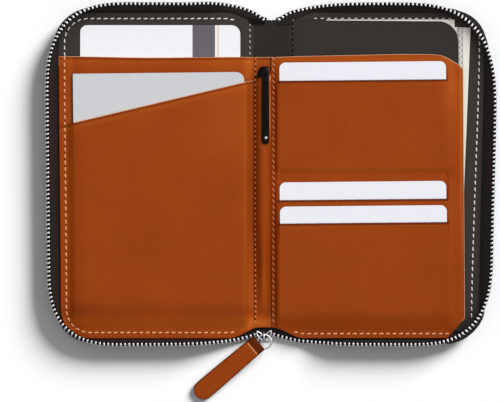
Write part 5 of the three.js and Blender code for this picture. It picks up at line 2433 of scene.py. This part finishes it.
# ------------------------------------------------------------------ studio
@dataclass
class Studio:
    """Plain white floor, three lamps and a dim surround.

    The low key from the upper right lights only the floor, where it gives the long soft shadow. The higher
    soft lamp and the broad overhead fill light all but the floor. A lamp is its elevation and bearing in
    degrees, its strength, and how wide its source looks in degrees.
    """

    view_x: float = -11.0
    view_y: float = -13.1
    view_width: float = 257.0
    lens: float = 200.0
    sensor: float = 36.0
    key: Four = (27.9, 45.0, 2.9, 26.0)
    soft: Four = (48.0, 44.0, 1.86, 50.0)
    fill: Four = (78.0, 60.0, 1.25, 130.0)
    floor_white: float = 1.72
    surround: float = 0.17

    def camera(self) -> None:
        """Long lens straight above the folio, the page's top up."""
        data = bpy.data.cameras.new("camera")
        data.lens = self.lens
        data.sensor_width = self.sensor
        data.clip_start = 0.05
        data.clip_end = 10.0
        made = linked("camera", data)
        distance = self.view_width * MM * self.lens / self.sensor
        made.location = (self.view_x * MM, self.view_y * MM, distance + 0.005)
        bpy.context.scene.camera = made

    def sun(self, name: str, elevation: float, bearing: float, strength: float, angle: float
            ) -> Piece:
        """Adds a distant light.

        Args:
            name: its name.
            elevation: height above the floor in degrees.
            bearing: direction it comes from, in degrees from +X.
            strength: power on a square metre that faces it.
            angle: how wide its source looks, in degrees.

        Returns:
            The light.
        """
        data = bpy.data.lights.new(name, "SUN")
        data.energy = strength
        data.angle = radians(angle)
        made = linked(name, data)
        rise, turn = radians(elevation), radians(bearing)
        toward = Vector((cos(rise) * cos(turn), cos(rise) * sin(turn), sin(rise)))
        made.rotation_euler = (-toward).to_track_quat("-Z", "Y").to_euler()
        return made

    def seen_apart(self, tree: Tree, kind: str, output: str, lit: dict, seen: dict) -> None:
        """Builds a tree that shows the camera something else than it gives as light.

        Args:
            tree: the tree, emptied first.
            kind: type of both shader nodes.
            output: type of the output node.
            lit: settings of the shader that gives light.
            seen: settings of the one that the camera sees.
        """
        tree.nodes.clear()
        camera = add(tree, "ShaderNodeLightPath").outputs["Is Camera Ray"]
        shaders = [add(tree, kind, settings).outputs[0] for settings in (lit, seen)]
        mix = add(tree, "ShaderNodeMixShader", links={0: camera, 1: shaders[0], 2: shaders[1]})
        add(tree, output, links={"Surface": mix.outputs[0]})

    def floor(self) -> Piece:
        """White floor, far larger than the view; the camera sees it a little brighter than it lights.

        Returns:
            The floor.
        """
        reach = 3000.0
        corners = np.array([(-reach, -reach, 0), (reach, -reach, 0), (reach, reach, 0), (-reach, reach, 0)])
        white = Finish("white_floor", "e6e6e6", roughness=0.95)
        sheet = mesh_object("floor", corners, [(0, 1, 2, 3)], (white,))
        tree = sheet.data.materials[0].node_tree
        self.seen_apart(tree, "ShaderNodeBsdfDiffuse", "ShaderNodeOutputMaterial",
                        {"Color": linear("dedede")}, {"Color": (self.floor_white,) * 3 + (1.0,)})
        return sheet

    def world(self) -> None:
        """Even dim surround that the camera sees as white."""
        world = bpy.data.worlds.new("surround")
        bpy.context.scene.world = world
        world.use_nodes = True
        self.seen_apart(world.node_tree, "ShaderNodeBackground", "ShaderNodeOutputWorld",
                        {"Color": linear("f4f5f8"), "Strength": self.surround},
                        {"Color": (1, 1, 1, 1), "Strength": 1.0})

    def build(self) -> None:
        """Builds the studio and sets the view's colours."""
        self.camera()
        sheet = self.floor()
        for name, setting, state in (("key", self.key, "INCLUDE"), ("soft", self.soft, "EXCLUDE"),
                                     ("fill", self.fill, "EXCLUDE")):
            reached = bpy.data.collections.new(f"{name} reach")
            reached.objects.link(sheet)
            reached.collection_objects[0].light_linking.link_state = state
            self.sun(name, *setting).light_linking.receiver_collection = reached
        self.world()
        bpy.context.scene.view_settings.view_transform = "Standard"


def dress_boards() -> None:
    """Finishes the stiffening boards, which stay as the CAD has them inside the covers."""
    for name in ("board_left", "board_right"):
        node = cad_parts[name]
        node.data.materials.clear()
        node.data.materials.append(BOARD.material())


def main() -> None:
    """Builds the folio and its studio."""
    logging.basicConfig(level=logging.INFO, format="%(message)s")
    Case().build()
    Zip().build()
    Slider().build()
    LeftPockets().build()
    CardLeaf().build()
    RightLining().build()
    Documents().build()
    Pen().build()
    dress_boards()
    Studio().build()


if __name__ == "__main__":
    main()
